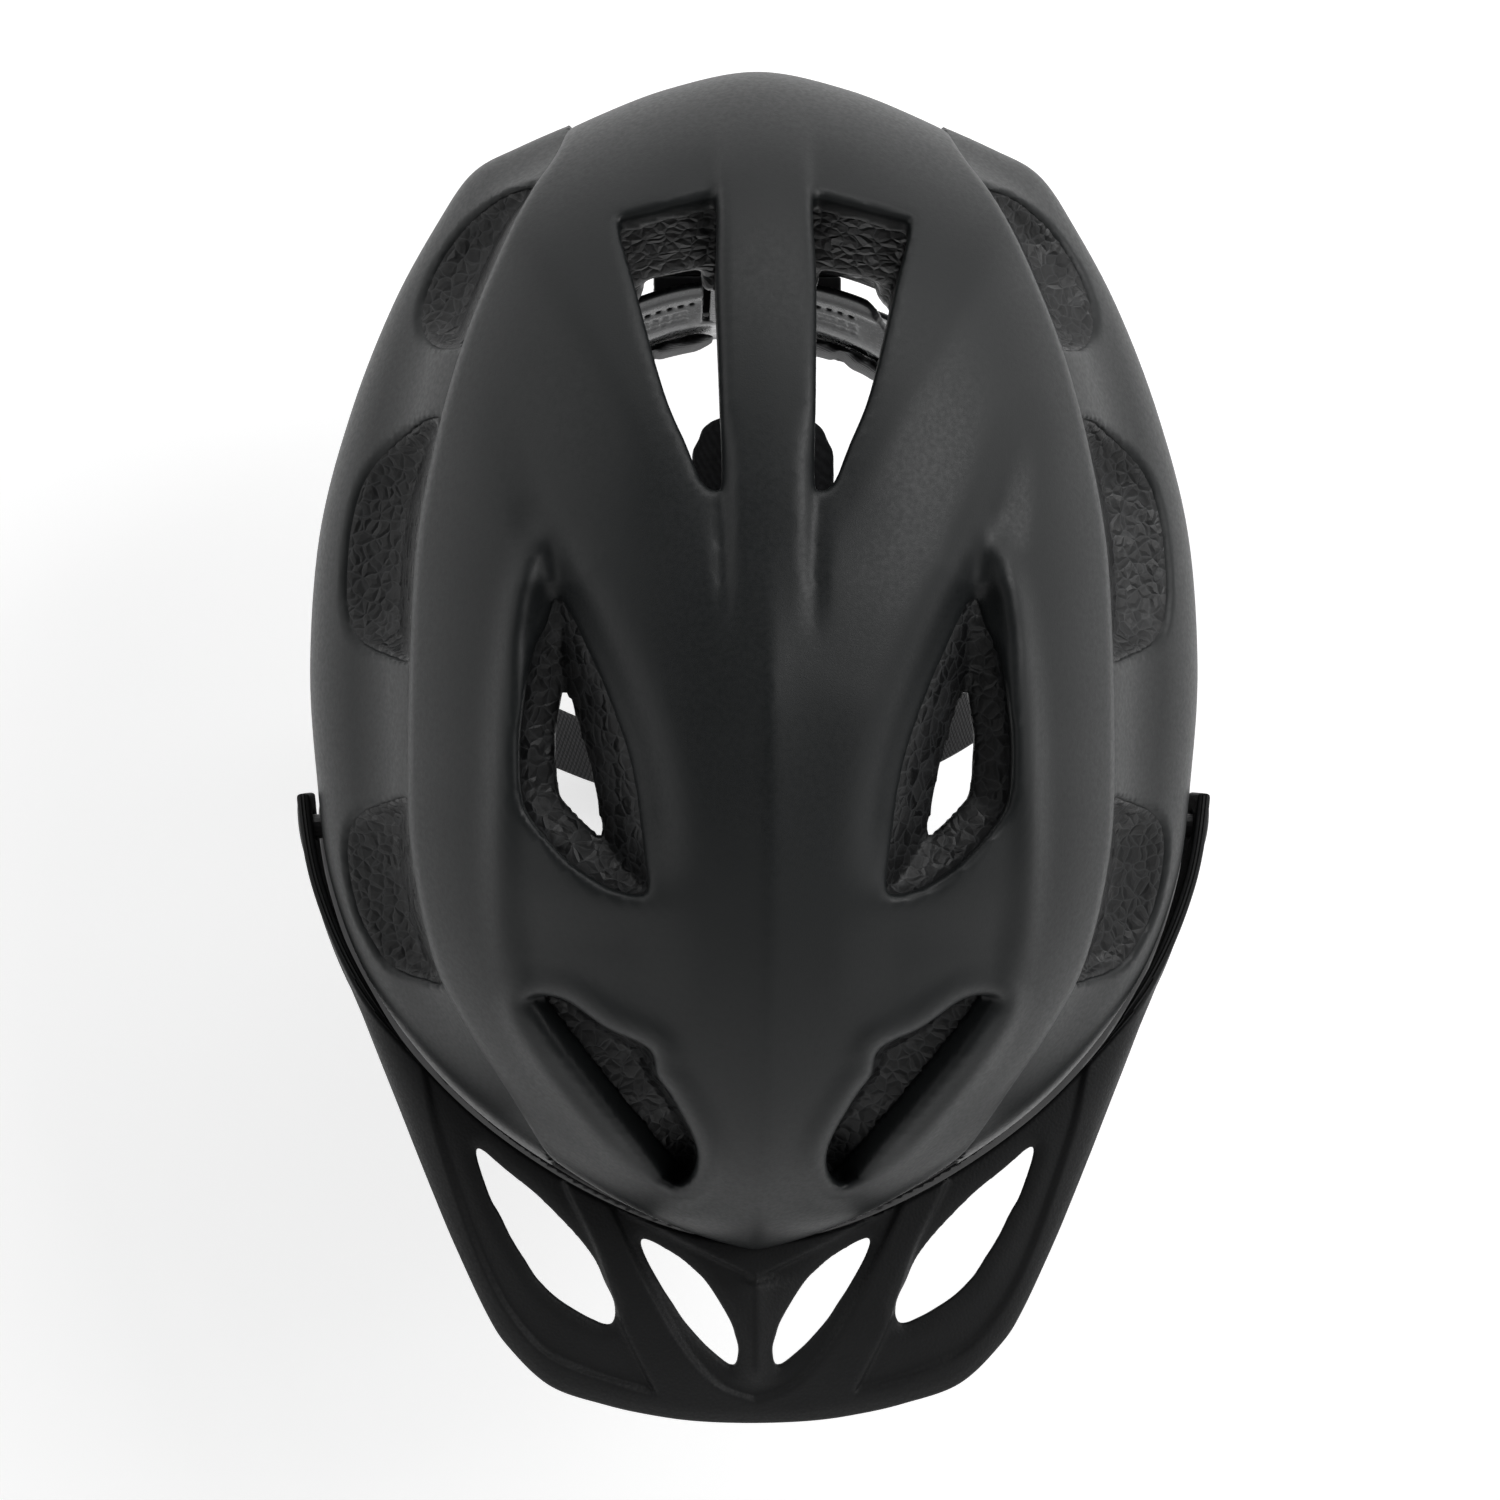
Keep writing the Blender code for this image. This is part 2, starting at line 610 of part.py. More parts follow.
# ---------------------------------------------------------------- retention system
def ring_point(x_or_bearing, z, inset, by_x=False):
    """A point on the head ring's outline, inset from the foam's inside."""
    across, along = HEAD_HALF_WIDTH - inset, HEAD_HALF_LENGTH - inset
    if by_x:
        x = x_or_bearing
        return Vector((x, along * (1 - (abs(x) / across) ** 2.2) ** (1 / 2.2), z))
    s, c = math.sin(x_or_bearing), math.cos(x_or_bearing)
    return Vector((math.copysign(abs(s) ** (2 / 2.2) * across, s),
                   math.copysign(abs(c) ** (2 / 2.2) * along, c), z))


def upright_band(name, points, height, thickness):
    """A thin band that stands on edge along its points."""
    sections = []
    for i, point in enumerate(points):
        tangent = points[min(i + 1, len(points) - 1)] - points[max(i - 1, 0)]
        out = Vector((tangent.y, -tangent.x, 0.0)).normalized() * (thickness / 2)
        up = Vector((0.0, 0.0, height / 2))
        sections.append([point - out - up, point + out - up, point + out + up,
                         point - out + up])
    return loft_mesh(name, sections)


def gear_outline(teeth, module):
    pitch, half = module * teeth / 2, module * 0.66
    points = []
    for i in range(teeth):
        middle = math.pi / 2 + math.tau * i / teeth
        for radius, width in ((pitch - 1.15 * module, half * 1.5), (pitch, half),
                              (pitch + 0.85 * module, half * 0.42)):
            points.append((radius, middle - width / radius))
        for radius, width in ((pitch + 0.85 * module, half * 0.42), (pitch, half),
                              (pitch - 1.15 * module, half * 1.5)):
            points.append((radius, middle + width / radius))
    return [(r * math.cos(a), r * math.sin(a)) for r, a in points]


def rack_outline(start, end):
    """A toothed bar over the gear, its teeth pointing down to the gear's centre."""
    pitch_z = GEAR_MODULE * GEAR_TEETH / 2
    step, half = math.pi * GEAR_MODULE, GEAR_MODULE * 0.66
    root, tip = pitch_z + 1.25 * GEAR_MODULE, pitch_z - 0.80 * GEAR_MODULE
    points = []
    first = math.ceil(start / step - 0.5 + 0.45)
    x = (first + 0.5) * step
    while x < end - 0.45 * step:
        points += [(x - half * 1.55, root), (x - half * 0.45, tip), (x + half * 0.45, tip),
                   (x + half * 1.55, root)]
        x += step
    return [(start, root)] + points + [(end, root), (end, root + 0.0024),
                                       (start, root + 0.0024)]


# Local X, Y, Z become world X, Z, -Y: an outline that is seen from the rear.
FROM_REAR = Matrix(((1, 0, 0, 0), (0, 0, -1, 0), (0, 1, 0, 0), (0, 0, 0, 1)))


def make_retention(finishes):
    x0, y0, z0 = DIAL_CENTRE.x, DIAL_CENTRE.y, DIAL_CENTRE.z
    for side, sign in SIDES:
        points = []
        start, end = math.radians(114), None
        for i in range(23):
            share = i / 22
            if share < 1:
                bearing = math.radians(114 - 96 * share)
            z = -0.0080 - 0.0480 * (share ** 1.6)
            point = ring_point(bearing, z, RING_INSET)
            if point.x < 0.0246:
                break
            points.append(point)
        points.append(ring_point(0.0245, z0, RING_INSET, by_x=True))
        points[-2].z = points[-1].z + 0.0015
        points = [Vector((sign * p.x, p.y, p.z)) for p in points]
        part(upright_band("belt_" + side, points, BELT_WIDTH, BELT_THICKNESS),
             "belt_" + side, finishes["belt"])
        seat, beside = (ring_point(math.radians(degrees), -0.0080, RING_INSET + 0.0006)
                        for degrees in (119.5, 118.5))
        normal = Vector((beside.y - seat.y, seat.x - beside.x, 0.0)).normalized() * 0.0010
        seat.x, normal.x = sign * seat.x, sign * normal.x
        part(rod_mesh("temple_anchor_" + side, seat - normal, seat + normal, 0.0065),
             "temple_anchor_" + side, finishes["plastic"])

    # The cradle: a thin curved plate with a ladder of slots under its upper edge.
    arc = [ring_point(0.046 - 0.092 * i / 16, z0, CRADLE_INSET, by_x=True) for i in range(17)]
    cradle = part(upright_band("nape_cradle", arc, 0.0360, 0.0020), "nape_cradle",
                  finishes["plastic"])
    for side, sign in SIDES:
        for row in range(3):
            for step in range(3):
                x = sign * (0.0290 + 0.0055 * step)
                z = z0 + 0.0115 - 0.0095 * row
                cut(cradle, cutter(
                    box_mesh("slot", (x - 0.0016, 0.060, z - 0.0028),
                             (x + 0.0016, 0.120, z + 0.0028)), "slot"))
        pad = []
        for i in range(6):
            x = sign * (0.0080 + 0.0330 * i / 5)
            face = ring_point(x, z0, CRADLE_INSET + 0.0016, by_x=True)
            back = ring_point(x, z0, CRADLE_INSET + (0.0035 if i in (0, 5) else 0.0060),
                              by_x=True)
            pad.append([face - Vector((0, 0, 0.0130)), back - Vector((0, 0, 0.0110)),
                        back + Vector((0, 0, 0.0110)), face + Vector((0, 0, 0.0130))])
        part(loft_mesh("nape_pad_" + side, pad), "nape_pad_" + side, finishes["cloth"])

    hanger = [(0, 0.0932, z0 + 0.0186), (0, 0.0955, -0.0260), (0, 0.0990, -0.0100),
              (0, 0.1005, 0.0040), (0, 0.1005, 0.0140)]
    part(strip_mesh("cradle_hanger", hanger, (1, 0, 0), 0.0200, 0.0014), "cradle_hanger",
         finishes["plastic"])
    part(box_mesh("hanger_anchor", (-0.0130, 0.1015, 0.0010), (0.0130, 0.1029, 0.0130)),
         "hanger_anchor", finishes["plastic"])

    base = part(box_mesh("dial_housing", (-0.0240, 0.0957, z0 - 0.0130),
                         (0.0240, 0.1050, z0 + 0.0130)), "dial_housing", finishes["plastic"])
    cut(base, cutter(box_mesh("rack_channel", (-0.030, 0.0985, z0 - 0.0088),
                              (0.030, 0.1150, z0 + 0.0088)), "rack_channel"))
    cover = part(box_mesh("housing_cover", (-0.0240, 0.1053, z0 - 0.0130),
                          (0.0240, 0.1073, z0 + 0.0130)), "housing_cover",
                 finishes["plastic"])
    cut(cover, cutter(rod_mesh("shaft_hole", (x0, 0.100, z0), (x0, 0.120, z0), 0.0022),
                      "shaft_hole"))

    knob_mesh = bmesh.new()
    profile = [(0.0, 0.0), (0.0017, 0.0), (0.0017, 0.0092), (0.0145, 0.0092),
               (0.0150, 0.0102), (0.0150, 0.0160), (0.0138, 0.0176), (0.0100, 0.0182),
               (0.0, 0.0186)]
    sections = 28
    rings = []
    for radius, height in profile:
        if radius == 0:
            rings.append([knob_mesh.verts.new((0, height, 0))])
            continue
        grip = 0.0006 if 0.0098 < height < 0.0165 else 0.0
        rings.append([
            knob_mesh.verts.new((
                (radius - grip * (i % 2)) * math.cos(math.tau * i / sections), height,
                (radius - grip * (i % 2)) * math.sin(math.tau * i / sections)))
            for i in range(sections)])
    for ring, following in zip(rings, rings[1:]):
        for i in range(sections):
            j = (i + 1) % sections
            if len(ring) == 1:
                knob_mesh.faces.new((ring[0], following[j], following[i]))
            elif len(following) == 1:
                knob_mesh.faces.new((ring[i], ring[j], following[0]))
            else:
                knob_mesh.faces.new((ring[i], ring[j], following[j], following[i]))
    knob = part(mesh_from(knob_mesh, "dial_knob"), "dial_knob", finishes["rubber"])
    knob.location = (x0, 0.0987, z0)

    half = GEAR_THICKNESS / 2
    gear = part(prism_mesh("dial_pinion", gear_outline(GEAR_TEETH, GEAR_MODULE), -half, half,
                           to_world=FROM_REAR), "dial_pinion", finishes["plastic"])
    gear.location = (x0, 0.1019, z0)
    bore = cutter(rod_mesh("pinion_bore", (x0, 0.095, z0), (x0, 0.110, z0), 0.0020),
                  "pinion_bore")
    cut(gear, bore)
    for side, sign in SIDES:
        outline = rack_outline(-0.0070, 0.0220)
        if sign < 0:
            outline = [(-x, -z) for x, z in outline]
        rack = part(prism_mesh("rack_" + side, outline, -half, half, to_world=FROM_REAR),
                    "rack_" + side, finishes["plastic"])
        rack.location = (x0, 0.1019, z0)


# ---------------------------------------------------------------- straps and buckle
def make_straps(finishes):
    c, size = DIVIDER_CENTRE, DIVIDER_SIZE
    top, bottom = c.z + size[2] / 2 + 0.0004, c.z - size[2] / 2 - 0.0004
    for side, sign in SIDES:
        def strap(name, path):
            path = path if sign > 0 else mirror_path(path)
            part(strip_mesh(name, path, (0, 1, 0), WEBBING_WIDTH, WEBBING_THICKNESS), name,
                 finishes["webbing"])

        part(sided_box("front_anchor_" + side, sign, (0.0845, -0.0410, -0.0288),
                       (0.0925, -0.0190, -0.0264)), "front_anchor_" + side,
             finishes["plastic"])
        part(sided_box("rear_anchor_" + side, sign, (0.0845, 0.0290, -0.0246),
                       (0.0925, 0.0510, -0.0222)), "rear_anchor_" + side,
             finishes["plastic"])
        strap("front_strap_" + side, [
            (0.0885, -0.0300, -0.0292), (0.0880, -0.0245, -0.0450), (0.0838, -0.0120, -0.0660),
            (0.0790, -0.0010, -0.0810), (c.x + 0.0013, c.y - 0.0010, top)])
        strap("rear_strap_" + side, [
            (0.0885, 0.0400, -0.0250), (0.0868, 0.0345, -0.0420), (0.0806, 0.0200, -0.0640),
            (0.0750, 0.0080, -0.0800), (c.x - 0.0013, c.y + 0.0010, top)])

        body = part(sided_box("divider_" + side, sign, tuple(c - Vector(size) / 2),
                              tuple(c + Vector(size) / 2)), "divider_" + side,
                    finishes["plastic"])
        bevel = body.modifiers.new("edges", "BEVEL")
        bevel.width = 0.0010
        bevel.segments = 2
        hinge = Vector((sign * 0.0792, c.y, c.z + 0.0090))
        lever = part(box_mesh("divider_lever_" + side, (-0.0010, -0.0090, -0.0190),
                              (0.0010, 0.0090, 0.0010)), "divider_lever_" + side,
                     finishes["plastic"])
        lever.location = hinge

    cx, cy, cz = BUCKLE_CENTRE
    part(strip_mesh("chin_strap_left", [
        (c.x, c.y, bottom), (0.0715, -0.0010, -0.1290), (0.0600, -0.0095, -0.1440),
        (0.0440, -0.0175, -0.1535), (0.0306, cy, cz)], (0, 1, 0), WEBBING_WIDTH,
        WEBBING_THICKNESS), "chin_strap_left", finishes["webbing"])
    part(strip_mesh("chin_strap_right", [
        (-c.x, c.y, bottom), (-0.0710, -0.0010, -0.1290), (-0.0580, -0.0095, -0.1450),
        (-0.0380, -0.0180, -0.1545), (-0.0216, cy, cz)], (0, 1, 0), WEBBING_WIDTH,
        WEBBING_THICKNESS), "chin_strap_right", finishes["webbing"])

    female = part(box_mesh("buckle_socket", (cx, cy - 0.0122, cz - 0.0040),
                           (0.0300, cy + 0.0122, cz + 0.0040)), "buckle_socket",
                  finishes["plastic"])
    cut(female,
        cutter(box_mesh("buckle_pocket", (cx - 0.0100, cy - 0.0105, cz - 0.0026),
                        (0.0270, cy + 0.0105, cz + 0.0026)), "buckle_pocket"),
        cutter(box_mesh("buckle_windows", (0.0090, cy - 0.0200, cz - 0.00255),
                        (0.0200, cy + 0.0200, cz + 0.00255)), "buckle_windows"))
    male = part(box_mesh("buckle_plug", (-0.0210, cy - 0.0115, cz - 0.0036),
                         (cx - 0.0006, cy + 0.0115, cz + 0.0036)), "buckle_plug",
                finishes["plastic"])
    tongue = cutter(box_mesh("buckle_tongue", (-0.0100, cy - 0.0024, cz - 0.0019),
                             (0.0230, cy + 0.0024, cz + 0.0019)), "buckle_tongue")
    boolean(male, tongue, "UNION")
    for side, sign in (("front", -1), ("rear", 1)):
        inner, outer = sorted((sign * -0.0015, sign * 0.0026))
        prong = part(box_mesh("buckle_prong_" + side, (-0.0008, inner, -0.0020),
                              (0.0150, outer, 0.0020)), "buckle_prong_" + side,
                     finishes["plastic"])
        prong.location = (cx + 0.0012, cy + sign * 0.0075, cz)


def main():
    finishes = {
        "shell": material("matte_shell", (0.020, 0.021, 0.022), 0.45),
        "band": material("gloss_band", (0.012, 0.012, 0.013), 0.20),
        "foam": material("black_foam", (0.030, 0.030, 0.032), 0.75),
        "visor": material("matte_visor", (0.016, 0.016, 0.017), 0.60),
        "plastic": material("moulded_plastic", (0.020, 0.020, 0.021), 0.40),
        "rubber": material("dial_rubber", (0.018, 0.018, 0.019), 0.65),
        "cloth": material("pad_cloth", (0.022, 0.022, 0.024), 0.90),
        "webbing": material("webbing", (0.020, 0.020, 0.021), 0.85),
        "belt": material("belt_plastic", (0.030, 0.030, 0.032), 0.45),
    }
    make_shells(finishes)
    make_visor(finishes)
    make_pads(finishes)
    make_retention(finishes)
    make_straps(finishes)


clear_scene()
PARTS = new_collection("cycling_helmet")
CUTTERS = new_collection("cutters")
main()
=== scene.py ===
"""Looks of the cycling helmet: filleted shells, beaded foam, textured visor, webbing and pads."""
import itertools
import math

import bmesh
import bpy
import numpy as np
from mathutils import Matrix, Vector


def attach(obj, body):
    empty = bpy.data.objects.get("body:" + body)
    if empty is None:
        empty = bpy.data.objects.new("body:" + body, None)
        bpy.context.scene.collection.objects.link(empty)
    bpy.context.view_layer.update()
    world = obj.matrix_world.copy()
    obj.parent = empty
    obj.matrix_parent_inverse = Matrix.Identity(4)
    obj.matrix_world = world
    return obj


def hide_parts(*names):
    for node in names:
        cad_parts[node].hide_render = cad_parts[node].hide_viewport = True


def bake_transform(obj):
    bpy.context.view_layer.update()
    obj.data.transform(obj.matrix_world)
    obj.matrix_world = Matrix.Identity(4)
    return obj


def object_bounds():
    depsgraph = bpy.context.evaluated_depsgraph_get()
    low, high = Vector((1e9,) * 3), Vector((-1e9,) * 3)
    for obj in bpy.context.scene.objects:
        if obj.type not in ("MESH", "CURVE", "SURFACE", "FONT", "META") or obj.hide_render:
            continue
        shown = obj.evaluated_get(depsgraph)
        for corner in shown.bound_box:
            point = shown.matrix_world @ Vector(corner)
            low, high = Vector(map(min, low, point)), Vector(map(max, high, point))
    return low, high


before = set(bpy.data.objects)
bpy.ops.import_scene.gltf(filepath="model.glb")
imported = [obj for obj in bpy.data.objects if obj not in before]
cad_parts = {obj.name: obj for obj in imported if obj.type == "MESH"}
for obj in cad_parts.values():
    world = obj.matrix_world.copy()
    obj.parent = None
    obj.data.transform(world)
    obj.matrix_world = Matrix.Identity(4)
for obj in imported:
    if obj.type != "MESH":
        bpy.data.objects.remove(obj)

cad_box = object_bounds()

# ---------------------------------------------------------------- sizes, in millimetres
MM = 0.001
CELL = 1.3                                 # spacing of the grid the shells are sampled on
CROWN_Z = 122.0
CENTRE_Y = 5.0
NARROWING = 0.095                          # the crown's dome is narrower by this share
BAND_TOP_Z = 77.0                          # top of the wider dome that the band follows
STEP = 3.5                                 # the lower shell lies this far under the upper one
WALL = 3.4
LIP = 6.5                                  # how deep the shell rolls into a vent
BAND_HEIGHT = 15.0
SEAM = 0.05                                # between the shells and the rim band
HEAD_WIDTH, HEAD_LENGTH, HEAD_HEIGHT = 84.0, 106.0, 92.0
PLAN_POWER, RISE_POWER = 2.2, 2.3          # how square the head space is in plan and upwards
BEAD = 2.9                                 # size of a foam bead

SHELL_OUTLINE = [
    (0, 143), (20, 139.5), (38, 133.5), (56, 126), (67, 120), (75.5, 108), (86, 89), (96, 64),
    (103.5, 36), (106, 5), (104.5, -22), (101, -48), (91, -73), (72, -97.5), (48, -116),
    (22, -128.5), (0, -132.5)]
STEP_OUTLINE = [
    (0, 160), (40, 150), (46, 123), (52.5, 110), (62, 89), (69, 70), (74.5, 48.5), (78, 28),
    (79.5, 0), (80, -27), (78.5, -45), (74, -66), (66.5, -81), (57, -97), (50, -113),
    (43, -140), (20, -160), (0, -166)]
REAR_WINDOW = [
    (11.4, 108.5), (21, 106), (32, 102.5), (28, 82.8), (22.2, 60.8), (17.6, 49.5), (14.6, 42),
    (12, 39.5), (10, 41), (10.4, 60), (11, 85)]
MIDDLE_VENT = [
    (44.8, 16.5), (47.6, 11), (50.7, 4.9), (52.9, -7.6), (53.6, -16.8), (52.8, -27.8),
    (48.4, -34.7), (42.2, -40.9), (34.6, -45.8), (28.5, -47.5), (25.8, -46), (27, -36),
    (29.4, -19.8), (33.3, -7.7), (38, 3.5)]
FRONT_VENT = [
    (53, -72.5), (45, -71.2), (35, -77.5), (25.5, -82), (23.9, -88), (20.5, -93),
    (15.5, -103), (14.6, -109.5), (17.1, -114.6), (21.5, -114), (31, -106), (39.5, -96),
    (48, -84)]
# Side vents are given in side view, as (y, z). All other outlines are seen from above.
REAR_SIDE_VENT = [(74, 88), (75.5, 60), (81, 47), (94, 42.5), (106, 46), (113, 60), (114, 88)]
MIDDLE_SIDE_VENT = [(2, 88), (5, 60), (11, 45), (30, 41.5), (49, 44), (58, 59), (59, 88)]
FRONT_SIDE_VENT = [(-25, 88), (-28, 55), (-33, 41), (-46, 35.5), (-60, 35), (-69, 43), (-71, 88)]
# The lower edge in side view, as (y, z).
RIM_LINE = [
    (-180, 2), (-130, 1), (-105, -4), (-72, -17), (-42, -25.5), (-10, -25), (25, -19),
    (55, -21.5), (85, -31), (115, -35), (180, -34)]
SCOOP_LIP = [
    (45.5, 35), (49.5, 28), (53, 17.2), (55.6, 1.7), (56.8, -10.6), (57.5, -26.1),
    (57.9, -38.3), (57.5, -53.5), (54.8, -67.3), (50.5, -78.1), (44.9, -90.9), (35.9, -104.2)]
SCOOP_CREASE = [(60, 72), (57.3, 60.1), (51.4, 38.5), (47, 26), (44.4, 16)]


# ---------------------------------------------------------------- curves and flat distances
def smooth_line(points, steps=8, closed=False):
    """Points on a smooth curve through the given ones."""
    p = np.array(points, float)
    n = len(p)
    out = []
    for i in range(n if closed else n - 1):
        if closed:
            a, b, c, d = (p[(i + k - 1) % n] for k in range(4))
        else:
            a, b, c, d = (p[min(max(i + k - 1, 0), n - 1)] for k in range(4))
        for t in np.arange(steps) / steps:
            out.append(0.5 * (2 * b + (c - a) * t + (2 * a - 5 * b + 4 * c - d) * t * t
                              + (3 * b - a - 3 * c + d) * t ** 3))
    if not closed:
        out.append(p[-1])
    return np.array(out)


def mirrored(half):
    return half + [(-x, y) for x, y in half[-2:0:-1]]


def polar(half):
    """(angle from the rear, radius) along a half outline."""
    line = smooth_line(mirrored(half), 24, closed=True)
    line = line[: len(line) // 2 + 1]
    angle = np.arctan2(np.abs(line[:, 0]), line[:, 1] - CENTRE_Y)
    radius = np.hypot(line[:, 0], line[:, 1] - CENTRE_Y)
    order = np.argsort(angle)
    return angle[order], radius[order]


def line_distance(line, x, y, share=False):
    """Distance to an open line, and with share how far along it the nearest point is."""
    best = np.full(np.shape(x), 1e9)
    along = np.zeros(np.shape(x))
    for i, (a, b) in enumerate(zip(line[:-1], line[1:])):
        ab = b - a
        t = np.clip(((x - a[0]) * ab[0] + (y - a[1]) * ab[1]) / max(ab @ ab, 1e-9), 0, 1)
        d = np.hypot(x - a[0] - ab[0] * t, y - a[1] - ab[1] * t)
        along = np.where(d < best, (i + t) / (len(line) - 1), along)
        best = np.minimum(best, d)
    return (best, along) if share else best


def outline_distance(line, x, y):
    """Signed distance to a closed line, negative inside."""
    loop = np.vstack([line, line[:1]])
    inside = np.zeros(np.shape(x), bool)
    for a, b in zip(loop[:-1], loop[1:]):
        if a[1] == b[1]:
            continue
        crosses = (a[1] > y) != (b[1] > y)
        inside ^= crosses & (x < (b[0] - a[0]) * (y - a[1]) / (b[1] - a[1]) + a[0])
    return np.where(inside, -1.0, 1.0) * line_distance(loop, x, y)


def ramp(value, low, high):
    t = np.clip((value - low) / (high - low), 0, 1)
    return t * t * (3 - 2 * t)


def smax(a, b, r):
    """Both, with a fillet of about r where they meet."""
    h = np.maximum(r - np.abs(a - b), 0) / r
    return np.maximum(a, b) + h * h * r / 4


def smin(a, b, r):
    return -smax(-a, -b, r)


def head_plan(x, y):
    """The plan part of the head space's superellipsoid: 1 at its widest ring."""
    return (np.abs(x) / HEAD_WIDTH) ** PLAN_POWER + (np.abs(y) / HEAD_LENGTH) ** PLAN_POWER


# ---------------------------------------------------------------- meshes from fields
def surface_net(field, origin, step):
    """Vertices and quads of a field's zero surface."""
    origin, step = np.asarray(origin, float), np.asarray(step, float)
    shape = np.array(field.shape)
    cells = shape - 1
    ids, points, quads = [], [], []
    for axis in range(3):
        lo = [slice(None)] * 3
        hi = [slice(None)] * 3
        lo[axis], hi[axis] = slice(0, -1), slice(1, None)
        f0, f1 = field[tuple(lo)], field[tuple(hi)]
        where = np.nonzero((f0 < 0) != (f1 < 0))
        v0, v1 = f0[where].astype(float), f1[where].astype(float)
        place = np.stack(where, 1).astype(float)
        place[:, axis] += v0 / (v0 - v1)
        index = np.stack(where, 1)
        b, c = (axis + 1) % 3, (axis + 2) % 3
        keep = ((index[:, b] > 0) & (index[:, c] > 0) & (index[:, b] < cells[b])
                & (index[:, c] < cells[c]))
        around = []
        for db, dc in ((-1, -1), (0, -1), (0, 0), (-1, 0)):
            cell = index.copy()
            cell[:, b] += db
            cell[:, c] += dc
            ok = np.all((cell >= 0) & (cell < cells), 1)
            flat = (cell[:, 0] * cells[1] + cell[:, 1]) * cells[2] + cell[:, 2]
            ids.append(flat[ok])
            points.append(place[ok])
            around.append(flat)
        quad = np.stack(around, 1)[keep]
        flip = (v0 > 0)[keep]
        quad[flip] = quad[flip][:, ::-1]
        quads.append(quad)
    ids, points, quads = np.concatenate(ids), np.concatenate(points), np.concatenate(quads)
    unique, inverse = np.unique(ids, return_inverse=True)
    count = np.bincount(inverse)
    verts = np.stack([np.bincount(inverse, points[:, k]) / count for k in range(3)], 1)
    return origin + verts * step, np.searchsorted(unique, quads)


def sample(field, places):
    """The field between its grid points, at places counted in cells."""
    top = np.array(field.shape) - 1.001
    p = np.clip(places, 0, top)
    i = p.astype(int)
    f = p - i
    out = 0
    for dx in (0, 1):
        for dy in (0, 1):
            for dz in (0, 1):
                w = (np.where(dx, f[:, 0], 1 - f[:, 0]) * np.where(dy, f[:, 1], 1 - f[:, 1])
                     * np.where(dz, f[:, 2], 1 - f[:, 2]))
                out = out + w * field[i[:, 0] + dx, i[:, 1] + dy, i[:, 2] + dz]
    return out


def settle(verts, field, origin, step, rounds=2):
    """Moves the vertices onto the field's zero surface."""
    for _ in range(rounds):
        p = (verts - origin) / step
        value = sample(field, p)
        slope = np.stack([
            (sample(field, p + e) - sample(field, p - e)) / (2 * 0.6 * step[k])
            for k, e in enumerate(np.eye(3) * 0.6)], 1)
        size = np.maximum((slope ** 2).sum(1), 0.15)
        move = slope * (value / size)[:, None]
        far = np.linalg.norm(move, axis=1, keepdims=True)
        verts = verts - move * np.minimum(1, 0.5 * step.mean() / np.maximum(far, 1e-9))
    return verts


def mesh_object(name, verts, faces):
    """A new object. The vertices are in millimetres."""
    mesh = bpy.data.meshes.new(name)
    faces = np.asarray(faces)
    mesh.vertices.add(len(verts))
    mesh.vertices.foreach_set("co", (np.asarray(verts) * MM).astype(np.float32).ravel())
    mesh.loops.add(faces.size)
    mesh.loops.foreach_set("vertex_index", faces.ravel().astype(np.int32))
    mesh.polygons.add(len(faces))
    width = faces.shape[1]
    mesh.polygons.foreach_set("loop_start", np.arange(0, faces.size, width, dtype=np.int32))
    mesh.update(calc_edges=True)
    mesh.validate()
    mesh.shade_smooth()
    made = bpy.data.objects.new(name, mesh)
    bpy.context.scene.collection.objects.link(made)
    return made


def bent(field, sheet, normal, steps, low):
    """Meshes a field given over a sheet, and lays it on the sheet along its normals.

    Its third axis is the height over the sheet, from low, with steps[2] to a cell.
    """
    field = np.pad(field, 1, constant_values=3.0)
    verts, quads = surface_net(field, np.zeros(3), np.ones(3))
    verts = settle(verts * steps, field, np.zeros(3), steps) / steps - 1.0
    uv = np.stack([verts[:, 0], verts[:, 1], np.zeros(len(verts))], 1)
    place, out = (np.stack([sample(grid[:, :, None, k].repeat(2, 2), uv) for k in range(3)], 1)
                  for grid in (sheet, normal))
    return place + out * (low + verts[:, 2] * steps[2])[:, None], quads


def unit_normals(sheet):
    normal = np.cross(np.gradient(sheet, axis=0), np.gradient(sheet, axis=1))
    return normal / np.linalg.norm(normal, axis=2, keepdims=True)


